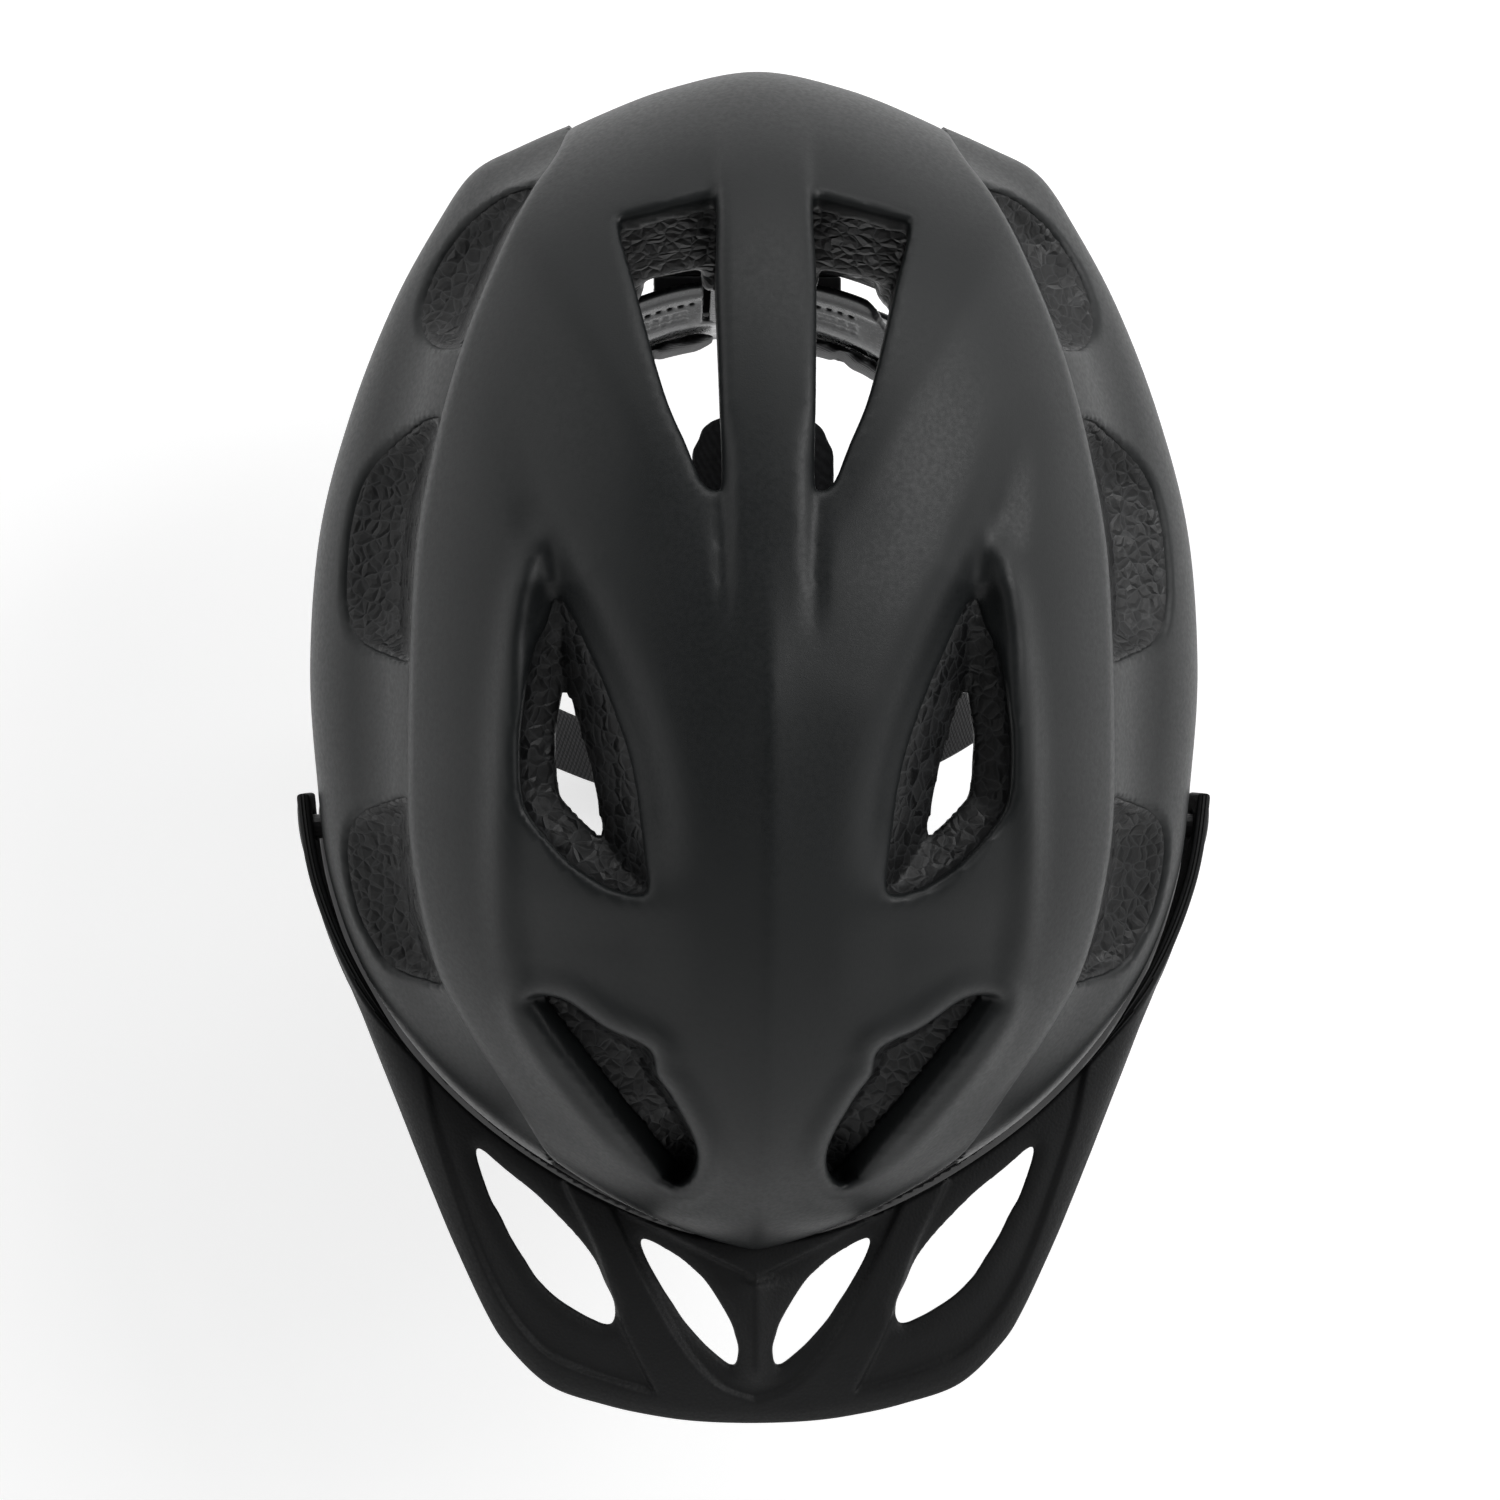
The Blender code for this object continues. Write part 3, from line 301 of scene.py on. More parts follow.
# ---------------------------------------------------------------- materials
class Nodes:
    """A Principled material and short calls for the nodes that feed it."""

    def __init__(self, name, colour, roughness, **settings):
        self.material = bpy.data.materials.new(name)
        self.material.use_nodes = True
        self.tree = self.material.node_tree
        self.shader = self.tree.nodes["Principled BSDF"]
        self.put(self.shader.inputs["Base Color"], (*colour, 1.0))
        self.put(self.shader.inputs["Roughness"], roughness)
        for socket, value in settings.items():
            self.put(self.shader.inputs[socket.replace("_", " ")], value)
        self.place = self.add("ShaderNodeTexCoord").outputs["Object"]

    def put(self, socket, value):
        if isinstance(value, bpy.types.NodeSocket):
            self.tree.links.new(value, socket)
        else:
            socket.default_value = value

    def add(self, kind, settings=(), **inputs):
        node = self.tree.nodes.new(kind)
        for key, value in dict(settings).items():
            setattr(node, key, value)
        for key, value in inputs.items():
            self.put(node.inputs[key.replace("_", " ")], value)
        return node

    def noise(self, scale, detail):
        return self.add("ShaderNodeTexNoise", Vector=self.place, Scale=scale,
                        Detail=detail).outputs["Fac"]

    def cells(self, scale, feature="F1", output="Distance", vector=None):
        return self.add("ShaderNodeTexVoronoi", {"feature": feature},
                        Vector=vector or self.place, Scale=scale).outputs[output]

    def math(self, operation, a, b=0.0):
        node = self.add("ShaderNodeMath", {"operation": operation})
        self.put(node.inputs[0], a)
        self.put(node.inputs[1], b)
        return node.outputs[0]

    def ranged(self, value, low, high, to_low, to_high):
        node = self.add("ShaderNodeMapRange", {"clamp": True}, Value=value)
        for key, number in (("From Min", low), ("From Max", high), ("To Min", to_low),
                            ("To Max", to_high)):
            node.inputs[key].default_value = number
        return node.outputs["Result"]

    def mix(self, factor, a, b):
        node = self.add("ShaderNodeMix", {"data_type": "RGBA"})
        self.put(node.inputs[0], factor)
        self.put(node.inputs[6], a if isinstance(a, bpy.types.NodeSocket) else (*a, 1.0))
        self.put(node.inputs[7], b if isinstance(b, bpy.types.NodeSocket) else (*b, 1.0))
        return node.outputs[2]

    def bump(self, height, distance, strength, onto=None):
        node = self.add("ShaderNodeBump", Height=height, Distance=distance,
                        Strength=strength)
        if onto is not None:
            self.put(node.inputs["Normal"], onto)
        return node.outputs["Normal"]

    def colour(self, value):
        self.put(self.shader.inputs["Base Color"], value)

    def tint(self, scale, detail, first, second):
        """A colour that drifts between two."""
        share = self.ranged(self.noise(scale, detail), 0.35, 0.65, 0.0, 1.0)
        self.colour(self.mix(share, first, second))

    def rough(self, value):
        self.put(self.shader.inputs["Roughness"], value)

    def normal(self, value):
        self.put(self.shader.inputs["Normal"], value)


def shell_material():
    n = Nodes("matte_shell", (0.010, 0.0115, 0.0118), 0.42, Specular_IOR_Level=0.36)
    n.tint(28.0, 3.0, (0.0062, 0.0074, 0.0078), (0.0082, 0.0096, 0.0101))
    n.rough(n.ranged(n.noise(900.0, 2.0), 0.3, 0.7, 0.40, 0.50))
    fine = n.bump(n.noise(2600.0, 2.0), 0.00004, 0.5)
    n.normal(n.bump(n.noise(18.0, 1.0), 0.00025, 0.35, onto=fine))
    return n.material


def band_material():
    n = Nodes("gloss_band", (0.010, 0.010, 0.011), 0.12, Coat_Weight=0.4, Coat_Roughness=0.06)
    n.rough(n.ranged(n.noise(120.0, 4.0), 0.35, 0.7, 0.10, 0.20))
    n.normal(n.bump(n.noise(60.0, 1.0), 0.0001, 0.3))
    return n.material


def foam_material():
    n = Nodes("black_beads", (0.012, 0.012, 0.0125), 0.5, Specular_IOR_Level=0.38)
    warp = n.add("ShaderNodeVectorMath", {"operation": "ADD"})
    n.put(warp.inputs[0], n.place)
    spread = n.add("ShaderNodeVectorMath", {"operation": "SCALE"})
    wobble = n.add("ShaderNodeTexNoise", Vector=n.place, Scale=260.0, Detail=1.0)
    n.put(spread.inputs[0], wobble.outputs["Color"])
    spread.inputs["Scale"].default_value = 0.0022
    n.put(warp.inputs[1], spread.outputs[0])
    place = warp.outputs[0]
    scale = 1000.0 / BEAD
    edge = n.cells(scale, "DISTANCE_TO_EDGE", vector=place)
    tone = n.cells(scale, "F1", "Color", vector=place)
    grey = n.add("ShaderNodeSeparateColor", Color=tone).outputs[0]
    face = n.mix(grey, (0.004, 0.0042, 0.0045), (0.012, 0.0123, 0.0128))
    joint = n.ranged(edge, 0.0, 0.09, 0.0, 1.0)
    n.colour(n.mix(joint, (0.024, 0.025, 0.026), face))
    n.rough(n.ranged(grey, 0.0, 1.0, 0.34, 0.62))
    dome = n.bump(n.ranged(edge, 0.0, 0.32, 0.0, 1.0), 0.00028, 0.7)
    n.normal(n.bump(n.noise(1800.0, 2.0), 0.00006, 0.5, onto=dome))
    return n.material


def visor_material():
    n = Nodes("grained_visor", (0.008, 0.0083, 0.0088), 0.55, Specular_IOR_Level=0.30)
    grain = n.cells(1500.0, "SMOOTH_F1")
    n.rough(n.ranged(grain, 0.0, 0.8, 0.48, 0.66))
    n.tint(40.0, 3.0, (0.0065, 0.0067, 0.0071), (0.0088, 0.0091, 0.0096))
    first = n.bump(grain, 0.00010, 0.8)
    n.normal(n.bump(n.noise(3200.0, 2.0), 0.00005, 0.6, onto=first))
    return n.material


def plastic_material(name, colour, roughness, grain=0.00004):
    n = Nodes(name, colour, roughness)
    n.tint(90.0, 3.0, colour, tuple(part * 1.35 for part in colour))
    n.rough(n.ranged(n.noise(700.0, 3.0), 0.3, 0.7, roughness - 0.06, roughness + 0.08))
    n.normal(n.bump(n.cells(1900.0, "SMOOTH_F1"), grain, 0.7))
    return n.material


def cloth_material():
    """Brushed knit: small loops in rows, with a soft sheen."""
    n = Nodes("knit_pad", (0.022, 0.023, 0.025), 0.85, Sheen_Weight=0.35, Sheen_Roughness=0.4)
    loops = n.cells(900.0, "SMOOTH_F1")
    rows = n.add("ShaderNodeTexWave", {"bands_direction": "DIAGONAL"}, Vector=n.place,
                 Scale=320.0, Distortion=1.5, Detail=1.0).outputs["Fac"]
    height = n.math("ADD", n.math("MULTIPLY", loops, 0.6), n.math("MULTIPLY", rows, 0.4))
    n.colour(n.mix(n.ranged(height, 0.1, 0.7, 0.0, 1.0), (0.030, 0.031, 0.034),
                   (0.013, 0.0135, 0.015)))
    fuzz = n.bump(n.noise(2400.0, 3.0), 0.00008, 0.5)
    n.normal(n.bump(height, 0.00022, 0.8, onto=fuzz))
    return n.material


def webbing_material():
    """A plain weave with ribs across the strap, from the strap's own coordinates, with painted
    shade in the weave's grooves.
    """
    n = Nodes("webbing_weave", (0.018, 0.018, 0.019), 0.7, Sheen_Weight=0.2)
    split = n.add("ShaderNodeSeparateXYZ", Vector=n.add("ShaderNodeUVMap").outputs["UV"])
    along, across = split.outputs[0], split.outputs[1]

    def wave(value, pitch):
        return n.math("SINE", n.math("MULTIPLY", value, math.tau / pitch))

    rib = n.math("ABSOLUTE", wave(along, 2.4 * MM))
    yarn = n.math("ABSOLUTE", wave(n.math("ADD", across, n.math("MULTIPLY", along, 0.5)),
                                   2.0 * MM))
    weave = n.math("MULTIPLY", rib, n.math("ADD", n.math("MULTIPLY", yarn, 0.6), 0.4))
    # Painted shade: the weave's low places, the grooves between ribs and yarns, are coloured
    # darker than its high places.
    n.colour(n.mix(n.ranged(weave, 0.0, 0.9, 0.0, 1.0), (0.006, 0.006, 0.0065),
                   (0.027, 0.027, 0.029)))
    fibres = n.bump(n.noise(5200.0, 2.0), 0.00005, 0.5)
    n.normal(n.bump(weave, 0.00025, 0.9, onto=fibres))
    return n.material


def floor_material():
    n = Nodes("pale_floor", (0.92, 0.92, 0.92), 0.9, Specular_IOR_Level=0.1,
              Emission_Color=(1.0, 1.0, 1.0, 1.0), Emission_Strength=0.45)
    n.colour(n.mix(n.noise(3.0, 2.0), (0.94, 0.94, 0.94), (0.96, 0.96, 0.96)))
    return n.material


SHELL = shell_material()
BAND = band_material()
FOAM = foam_material()
VISOR = visor_material()
PLASTIC = plastic_material("moulded_plastic", (0.018, 0.018, 0.019), 0.38)
CRADLE = plastic_material("cradle_plastic", (0.095, 0.098, 0.10), 0.24, 0.00002)
RUBBER = plastic_material("dial_rubber", (0.020, 0.020, 0.021), 0.62, 0.00010)
THREAD = plastic_material("sewing_thread", (0.045, 0.045, 0.047), 0.6, 0.00006)
CLOTH = cloth_material()
WEBBING = webbing_material()


def finish_piece(made, material, slot, body, *nodes):
    """Gives a piece its material, what it stands for, and the body it rides on. The slot is not
    used.
    """
    made.data.materials.clear()
    made.data.materials.append(material)
    if nodes:
        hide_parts(*nodes)
    if body:
        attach(made, body)


# ---------------------------------------------------------------- the helmet's solids
class Dome:
    """The helmet's surfaces, sampled on half a grid at +X and mirrored when meshed."""

    def __init__(self, cell):
        self.step = np.array([cell] * 3)
        self.xs = np.arange(0, 112 + cell, cell)
        self.ys = np.arange(-137, 148 + cell, cell)
        self.zs = np.arange(-42, 130 + cell, cell)
        self.x2, self.y2 = np.meshgrid(self.xs, self.ys, indexing="ij")
        self.z = self.zs[None, None, :].astype(np.float32)
        self.build()

    def flat(self, line):
        return outline_distance(line, self.x2, self.y2)[:, :, None].astype(np.float32)

    def normalised(self, field):
        gx, gy, gz = np.gradient(field, *self.step)
        return (field / np.clip(np.sqrt(gx * gx + gy * gy + gz * gz), 0.35, 3.0)).astype(
            np.float32)

    def relief(self):
        """Height of the moulded forms above the smooth dome, seen from above."""
        x, y = self.x2, self.y2
        lip, lip_share = line_distance(smooth_line(SCOOP_LIP), x, y, share=True)
        crease, crease_share = line_distance(smooth_line(SCOOP_CREASE), x, y, share=True)
        vent = outline_distance(smooth_line(MIDDLE_VENT, closed=True), x, y)
        front = outline_distance(smooth_line(FRONT_VENT, closed=True), x, y)
        height = 1.9 * np.exp(-(lip / 3.6) ** 2) * ramp(lip_share, 0.0, 0.12) * (
            1 - 0.75 * ramp(lip_share, 0.45, 0.75))
        # The scoop sinks towards the middle vent from behind and from the crown's side.
        hollow = 5.0 * np.exp(-(crease / 5.5) ** 2) * ramp(crease_share, 0.15, 1.0)
        inner = 6.5 * np.exp(-(np.maximum(vent, 0) / 6.0) ** 2) * ramp(
            52 - x + (y + 15) * 0.25, 0.0, 14.0) * ramp(y, -52.0, -30.0)
        height -= np.maximum(hollow, inner)
        # A broad shallow belt crosses between the middle and the front vents.
        height -= 1.6 * ramp(y, -86, -66) * (1 - ramp(y, -60, -44)) * ramp(x, 14, 30) * (
            1 - ramp(x, 50, 60))
        height += 1.0 * np.exp(-((np.maximum(front, 0) - 3.0) / 2.6) ** 2)
        # The centre keel, which broadens towards the front.
        height += 3.4 * np.exp(-np.sqrt(x * x + 1.5) / (9.0 + 6.0 * ramp(-y, 0, 110))) * (
            1 - ramp(y, -10, 34))
        # The bar between the rear windows stands proud and runs out forwards as two grooves.
        groove = np.exp(-((x - 9.6) / 1.8) ** 2)
        height -= 1.7 * groove * ramp(y, 4, 30) * (1 - ramp(y, 44, 60))
        height += 0.9 * (1 - ramp(x, 8.4, 11.5)) * ramp(y, 10, 45) * (1 - ramp(y, 105, 132))
        side = 1 - ramp(x, 9, 32)
        height -= 1.3 * side * ramp(x, 9.0, 12.5) * ramp(y, 16, 40) * (1 - ramp(y, 96, 122))
        return height[:, :, None].astype(np.float32)

    def along_y(self, ys, values):
        """A value that changes from front to rear only."""
        return np.interp(self.ys, ys, values)[None, :, None]

    def domes(self):
        """Two smooth domes: the crown's, and the band's, which is wider and lower."""
        x, y, z = self.x2, self.y2 - CENTRE_Y, self.z
        angle, radius = polar(SHELL_OUTLINE)
        bearing = np.arctan2(np.abs(x), y)
        outline = np.interp(bearing, angle, radius)
        narrow = outline * (1 - NARROWING * np.sin(bearing) ** 2)
        c = np.cos(bearing)
        # The widest ring is higher at the rear than at the sides, and lower at the front.
        ring = (20 + np.where(c > 0, 12 * c * c, -5 * c * c))[:, :, None]
        flat = np.hypot(x, y)[:, :, None]
        above = np.maximum(z - ring, 0)
        below = np.maximum(ring - z, 0)

        def dome(across, top):
            across = across[:, :, None]
            e = np.sqrt((flat / across) ** 2 + (above / (top - ring)) ** 2)
            length = np.sqrt(flat * flat + above * above)
            upper = length - length / np.maximum(e, 1e-6)
            lower = flat - across * (1 - 0.09 * (below / 90) ** 2)
            return self.normalised(np.where(z >= ring, upper, lower))

        return dome(narrow, CROWN_Z), dome(outline, BAND_TOP_Z)

    def top_vents(self, depth):
        """The middle vent alone, all the top vents, and the ducts they become in the foam."""
        window, middle, front = (
            self.flat(smooth_line(line, 6, closed=True))
            for line in (REAR_WINDOW, MIDDLE_VENT, FRONT_VENT))
        # The windows' rear walls and the front vents' outer walls slope with the depth.
        rear_wall = (self.y2[:, :, None] - (110 - 0.26 * self.x2[:, :, None])
                     + 0.55 * depth) * 0.88
        window = np.maximum(window, rear_wall)
        outward = (self.x2 * 0.80 - self.y2 * 0.60)[:, :, None]
        front = np.maximum(front, (outward - 86.0 + 0.75 * depth) * 0.80)
        vents = np.minimum(np.minimum(window, middle), front)
        ducts = np.minimum(np.minimum(window, middle + 11.5 * ramp(depth, 4, 19)),
                           front + 8.5 * ramp(depth, 5, 19))
        return middle, vents, ducts

    def side_vents(self, step):
        y2, z2 = np.meshgrid(self.ys, self.zs, indexing="ij")
        holes = np.minimum.reduce([
            outline_distance(smooth_line(line, 6), y2, z2)
            for line in (REAR_SIDE_VENT, MIDDLE_SIDE_VENT, FRONT_SIDE_VENT)])[None]
        holes = np.maximum(holes, 44 - self.x2[:, :, None]).astype(np.float32)
        return np.maximum(holes, -(step + 0.2))

    def build(self):
        """The fields of the upper shell, the lower shell, the rim band and the foam."""
        z = self.z
        smooth, band = self.domes()
        high = smooth - self.relief()
        step = self.flat(smooth_line(mirrored(STEP_OUTLINE), closed=True))
        side = smin(band, smooth + STEP, 5.0)
        top = smax(high, step + 0.10 * np.maximum(-smooth, -4), 2.4)
        outer = smin(top, side, 1.2)

        rim_line = smooth_line(RIM_LINE)
        rim = self.along_y(rim_line[:, 0], rim_line[:, 1])
        under_rim = (rim - z).astype(np.float32)
        # A moulded bead runs under the visor's inner edge and closes the gap under it.
        crest = self.along_y([-178, -100, -60, -26], [6.5, 6.5, 0.0, -1.5])
        fade = (1 - ramp(self.ys, -34, -16))[None, :, None]
        proud = self.along_y([-100, -60, -40, -26], [4.2, 4.6, 3.4, 2.6])
        bulge = proud * fade * np.exp(-((z - crest) / 4.4) ** 4)
        bulge = bulge * np.clip(1.5 - np.abs(band) / 8, 0, 1)
        outer = smax(outer - bulge, under_rim, 3.0)
        # The open surfaces run on below the rim, where the walls are offset from them.
        open_side, open_top = side - bulge, top
        side = smax(open_side, under_rim, 3.0)
        front_share = (1 - ramp(self.ys, -60, 30))[None, :, None]
        top_line = (rim + BAND_HEIGHT) * (1 - front_share) + (crest + 5.5) * front_share
        above_band = (top_line - z).astype(np.float32)

        middle, vents, ducts = self.top_vents(np.maximum(-smooth, 0))
        side_vents = self.side_vents(step)
        lip = LIP - 2.6 * (1 - ramp(np.abs(step), 3.0, 9.0))
        lip = lip + 5.0 * (1 - ramp(middle, 2.0, 6.0)) + 1.6 * (1 - ramp(np.abs(step), 2.0, 5.0))
        upper_cut = smax(smax(top, under_rim, 3.0), -vents, 1.8)
        side_cut = smax(side, -np.minimum(vents, side_vents), 0.7)
        self.upper = np.maximum(np.maximum(
            upper_cut, -(smax(open_top, -vents, 1.8) + WALL)), -(smooth + lip))
        self.upper = np.maximum(self.upper, above_band + SEAM)
        self.lower = np.maximum(np.maximum(side_cut, -(open_side + 3.0)), -(step + 2.0))
        self.lower = np.maximum(self.lower, above_band + SEAM)
        head = self.head_field(z)
        flange = np.maximum(side_cut, -(open_side + 7.0))
        self.band = np.maximum(np.maximum(flange, -(above_band - SEAM)), 0.5 - head)

        # At the sides the foam starts flush under the shell's edge and slopes inwards.
        slopes = side_vents + 0.8 + 7.5 * ramp(-side, 1.5, 12.0)
        foam = smax(outer + 1.0, under_rim + 1.0, 2.0)
        foam = np.maximum(foam, np.minimum(open_top + 1.0, -(step + 1.0)))
        foam = smax(foam, -np.minimum(ducts - 0.5, slopes), 1.5)
        # An air channel runs inside from the front vents to the rear windows.
        line_x = self.along_y([-110, -80, -15, 40, 90], [24, 33, 41, 34, 20])
        channel = np.abs(self.x2[:, :, None] - line_x) - 6.5
        channel = smax(smax(channel, head - 9.0, 3.0), 40.0 - z, 3.0)
        self.foam = smax(smax(foam, -channel, 3.0), -head, 4.0)

    def head_field(self, z):
        plan = head_plan(self.x2[:, :, None], self.y2[:, :, None])
        total = (plan ** (RISE_POWER / PLAN_POWER)
                 + (np.maximum(z, 0) / HEAD_HEIGHT) ** RISE_POWER)
        return self.normalised((total ** (1 / RISE_POWER) - 1) * 90)

    def piece(self, name, field):
        full = np.concatenate([field[:0:-1], field], axis=0)
        origin = np.array([-self.xs[-1], self.ys[0], self.zs[0]])
        full = np.pad(full, 1, constant_values=5.0)
        origin = origin - self.step
        verts, quads = surface_net(full, origin, self.step)
        return mesh_object(name, settle(verts, full, origin, self.step), quads)


dome = Dome(CELL)
for name, field, material, slot, node in (
        ("upper_shell_skin", dome.upper, SHELL, "shell", "upper_shell"),
        ("lower_shell_skin", dome.lower, SHELL, "shell", "lower_shell"),
        ("rim_band_skin", dome.band, BAND, "band", "rim_band"),
        ("beaded_liner", dome.foam, FOAM, "foam", "eps_liner")):
    finish_piece(dome.piece(name, field), material, slot, "helmet", node)

# ---------------------------------------------------------------- the visor
VISOR_WALL, VISOR_GAP = 2.4, 1.4
INNER_EDGE_GAP = 0.6
ARM_BEARING = math.radians(106.3)
PIVOT_Y, PIVOT_Z, PIN_HOLE = -34.5, 14.0, 3.5
VISOR_OUTLINE = [
    (107, -26), (106.4, -34), (103.4, -50), (97.5, -67), (91.1, -84), (84.7, -101),
    (78.3, -118), (71.5, -135), (63.7, -152), (58.5, -160), (48.9, -169), (35.9, -173.5),
    (24.8, -176), (13.8, -177.5), (0, -178)]
OUTER_HOLE = [
    (66.2, -111), (63.4, -121.7), (60.6, -127), (58.1, -132.2), (54.8, -137.5), (51.3, -142.7),
    (45.2, -148), (35.2, -153), (33.6, -148), (36, -142.7), (38.3, -137.5), (42.2, -132.2),
    (47, -127), (52.4, -121.7), (59, -116.4)]
INNER_HOLE = [
    (26.6, -132.5), (26.2, -136.3), (22.1, -143.9), (19.6, -147.8), (17.2, -151.6),
    (14.1, -155.4), (10.5, -159.2), (5.4, -163), (4.1, -159.2), (4.9, -155.4), (6.3, -151.6),
    (11, -143.9), (14.5, -140.1), (19.2, -136.3)]
RIB_OUTER = [(46, -117), (44.4, -121.7), (38, -134.6), (31.8, -152.3), (24, -168.5)]
RIB_INNER = [(36, -121), (34.3, -124.7), (26.1, -141.7), (16.7, -158.1), (8.5, -167), (0, -170.4)]
BORDER = [(84, -70), (80, -86), (77.2, -97.1), (74.3, -107.6), (66.1, -132.2), (59, -147.6),
          (50.8, -158.1), (42.6, -162.8), (30.8, -166.9), (22.6, -169.2)]
CHEVRON = [(36, -122), (32, -125.3), (16.5, -133.6), (0, -141.7)]


def region(line, x, y):
    """Signed distance to an open line, positive on its right going along it."""
    best = np.full(x.shape, 1e9)
    signed = np.zeros(x.shape)
    for a, b in zip(line[:-1], line[1:]):
        ab = b - a
        t = np.clip(((x - a[0]) * ab[0] + (y - a[1]) * ab[1]) / (ab @ ab), 0, 1)
        px, py = x - a[0] - ab[0] * t, y - a[1] - ab[1] * t
        d = np.hypot(px, py)
        side = np.sign(ab[1] * px - ab[0] * py)
        signed = np.where(d < best, d * side, signed)
        best = np.minimum(best, d)
    return signed


def visor_sheet(shares, v):
    """The peak's middle surface from arm to arm: shares runs to one arm, v from the shell out."""
    bearing = math.pi - (math.pi - ARM_BEARING) * shares
    shell_angle, shell_radius = polar(SHELL_OUTLINE)
    visor_angle, visor_radius = polar([(0, 200), (115, 40)] + VISOR_OUTLINE)
    front = ramp((1 - shares) / 0.55, 0, 1)
    shell = np.interp(bearing, shell_angle, shell_radius)
    inner = shell + (VISOR_GAP + VISOR_WALL + 0.2) * (1 - front) + INNER_EDGE_GAP * front
    outer = np.maximum(np.interp(bearing, visor_angle, visor_radius),
                       shell + VISOR_GAP + VISOR_WALL)
    inner_z, outer_z = 22 + 3 * front, 5 + 13 * front
    reach = inner[:, None] + (outer - inner)[:, None] * v[None, :]
    z = (inner_z[:, None] + (outer_z - inner_z)[:, None] * v[None, :]
         + 2.5 * front[:, None] * np.sin(math.pi * v)[None, :])
    x = np.sin(bearing)[:, None] * reach
    y = CENTRE_Y + np.cos(bearing)[:, None] * reach
    sheet = np.stack([x, y, z], 2)
    return np.concatenate([sheet[:0:-1] * np.array([-1, 1, 1]), sheet], 0)


def visor_piece():
    """The peak: a field around its middle surface, then bent into place."""
    across_cells, thick_cells, along_cells = 62, 22, 300
    v = np.linspace(0, 1, across_cells + 1)
    full = visor_sheet(np.linspace(0, 1, along_cells + 1), v)
    normal = unit_normals(full)
    normal *= np.sign(normal[along_cells, across_cells // 2, 2])
    ax, ay, az = np.abs(full[:, :, 0]), full[:, :, 1], full[:, :, 2]

    width = np.linalg.norm(full[:, -1] - full[:, 0], axis=1)[:, None]
    along = np.cumsum(np.linalg.norm(np.diff(full[:, across_cells // 2], axis=0), axis=1))
    along = np.concatenate([[0], along])[:, None]
    to_end = np.minimum(along, along[-1] - along) + 0 * ax
    to_outer = (1 - v)[None, :] * width - 1.0
    to_inner = v[None, :] * width
    arm = ramp(ay, -96, -60)

    rib_outer = region(smooth_line(RIB_OUTER), ax, ay)
    rib_inner = region(smooth_line(RIB_INNER), ax, ay)
    border = region(smooth_line(BORDER), ax, ay)
    chevron = region(smooth_line(CHEVRON), ax, ay)
    outer_panel = ramp(np.minimum(-rib_outer, border), -0.7, 0.7)
    inner_panel = ramp(np.minimum(rib_inner, -chevron), -0.7, 0.7)
    high = 1.5 * (1 - np.maximum(outer_panel, inner_panel))
    keel = np.exp(-np.sqrt(ax * ax + 1.0) / 4.2) * ramp(-ay, 140, 144) * (1 - ramp(-ay, 162, 171))
    high = high + 3.2 * keel
    high = high * (1 - 0.95 * arm) - 0.8 * np.exp(-(to_outer / 2.4) ** 2) * (1 - arm)
    high = high + 0.3 * np.exp(-((to_outer - 3.6) / 1.5) ** 2) * arm
    hole_outer = outline_distance(smooth_line(OUTER_HOLE, 5, closed=True), ax, ay)
    hole_inner = outline_distance(smooth_line(INNER_HOLE, 5, closed=True), ax, ay)
    holes = np.minimum(hole_outer, hole_inner)
    pin = np.where(ay > -60, np.hypot(ay - PIVOT_Y, az - PIVOT_Z) - PIN_HOLE, 99)
    high = high + np.exp(-(np.maximum(pin - 2.0, 0) / 1.6) ** 4) * 0.4
    # The sheet sinks a little towards the holes' edges, so they read as rolled.
    high = high - 0.9 * np.exp(-(np.maximum(holes, 0) / 2.0) ** 2)

    low_w, high_w = -2.8, 6.2
    w = np.linspace(low_w, high_w, thick_cells + 1)[None, None, :]
    top = w - (VISOR_WALL / 2 + high[:, :, None])
    under = -(w + VISOR_WALL / 2 + 0.6 * arm[:, :, None])
    edge = -np.minimum(np.minimum(to_outer, to_inner), to_end)[:, :, None]
    edge = smax(edge, -holes[:, :, None], 0.6)
    edge = smax(edge, -pin[:, :, None], 0.6)
    field = smax(smax(top, under, 0.5), edge, 1.1)
    steps = np.array([along[-1, 0] / (2 * along_cells), 0.7, (high_w - low_w) / thick_cells])
    return bent(field, full, normal, steps, low_w)


finish_piece(mesh_object("peak", *visor_piece()), VISOR, "visor", "visor", "visor")


# ---------------------------------------------------------------- pads
PAD_MESH = 2.2                             # the cushions are only 3 to 6 mm thick
SWELL_PRESSURE, SWELL_FRAMES, SWELL_CAP = 4.0, 20, 1.3
PAD_GAP = 1.7                              # from the foam to a pad's back


def head_place(bearing, rise, inset):
    """A point on the head space, by its bearing from the front and its rise."""
    s, c = np.sin(bearing), np.cos(bearing)
    t, u = np.sin(rise), np.cos(rise)
    direction = np.stack([s * u, -c * u, t + 0 * s], -1)
    plan = head_plan(direction[..., 0], direction[..., 1])
    total = (plan ** (RISE_POWER / PLAN_POWER)
             + (np.abs(direction[..., 2]) / HEAD_HEIGHT) ** RISE_POWER)
    return direction * (total ** (-1 / RISE_POWER) + inset)[..., None]


def ring_place(x, z, inset):
    """A point on the head ring behind the head, by its x."""
    across, along = HEAD_WIDTH - inset, HEAD_LENGTH - inset
    y = along * (1 - (np.abs(x) / across) ** PLAN_POWER) ** (1 / PLAN_POWER)
    return np.stack([x, y, z + 0 * x], -1)


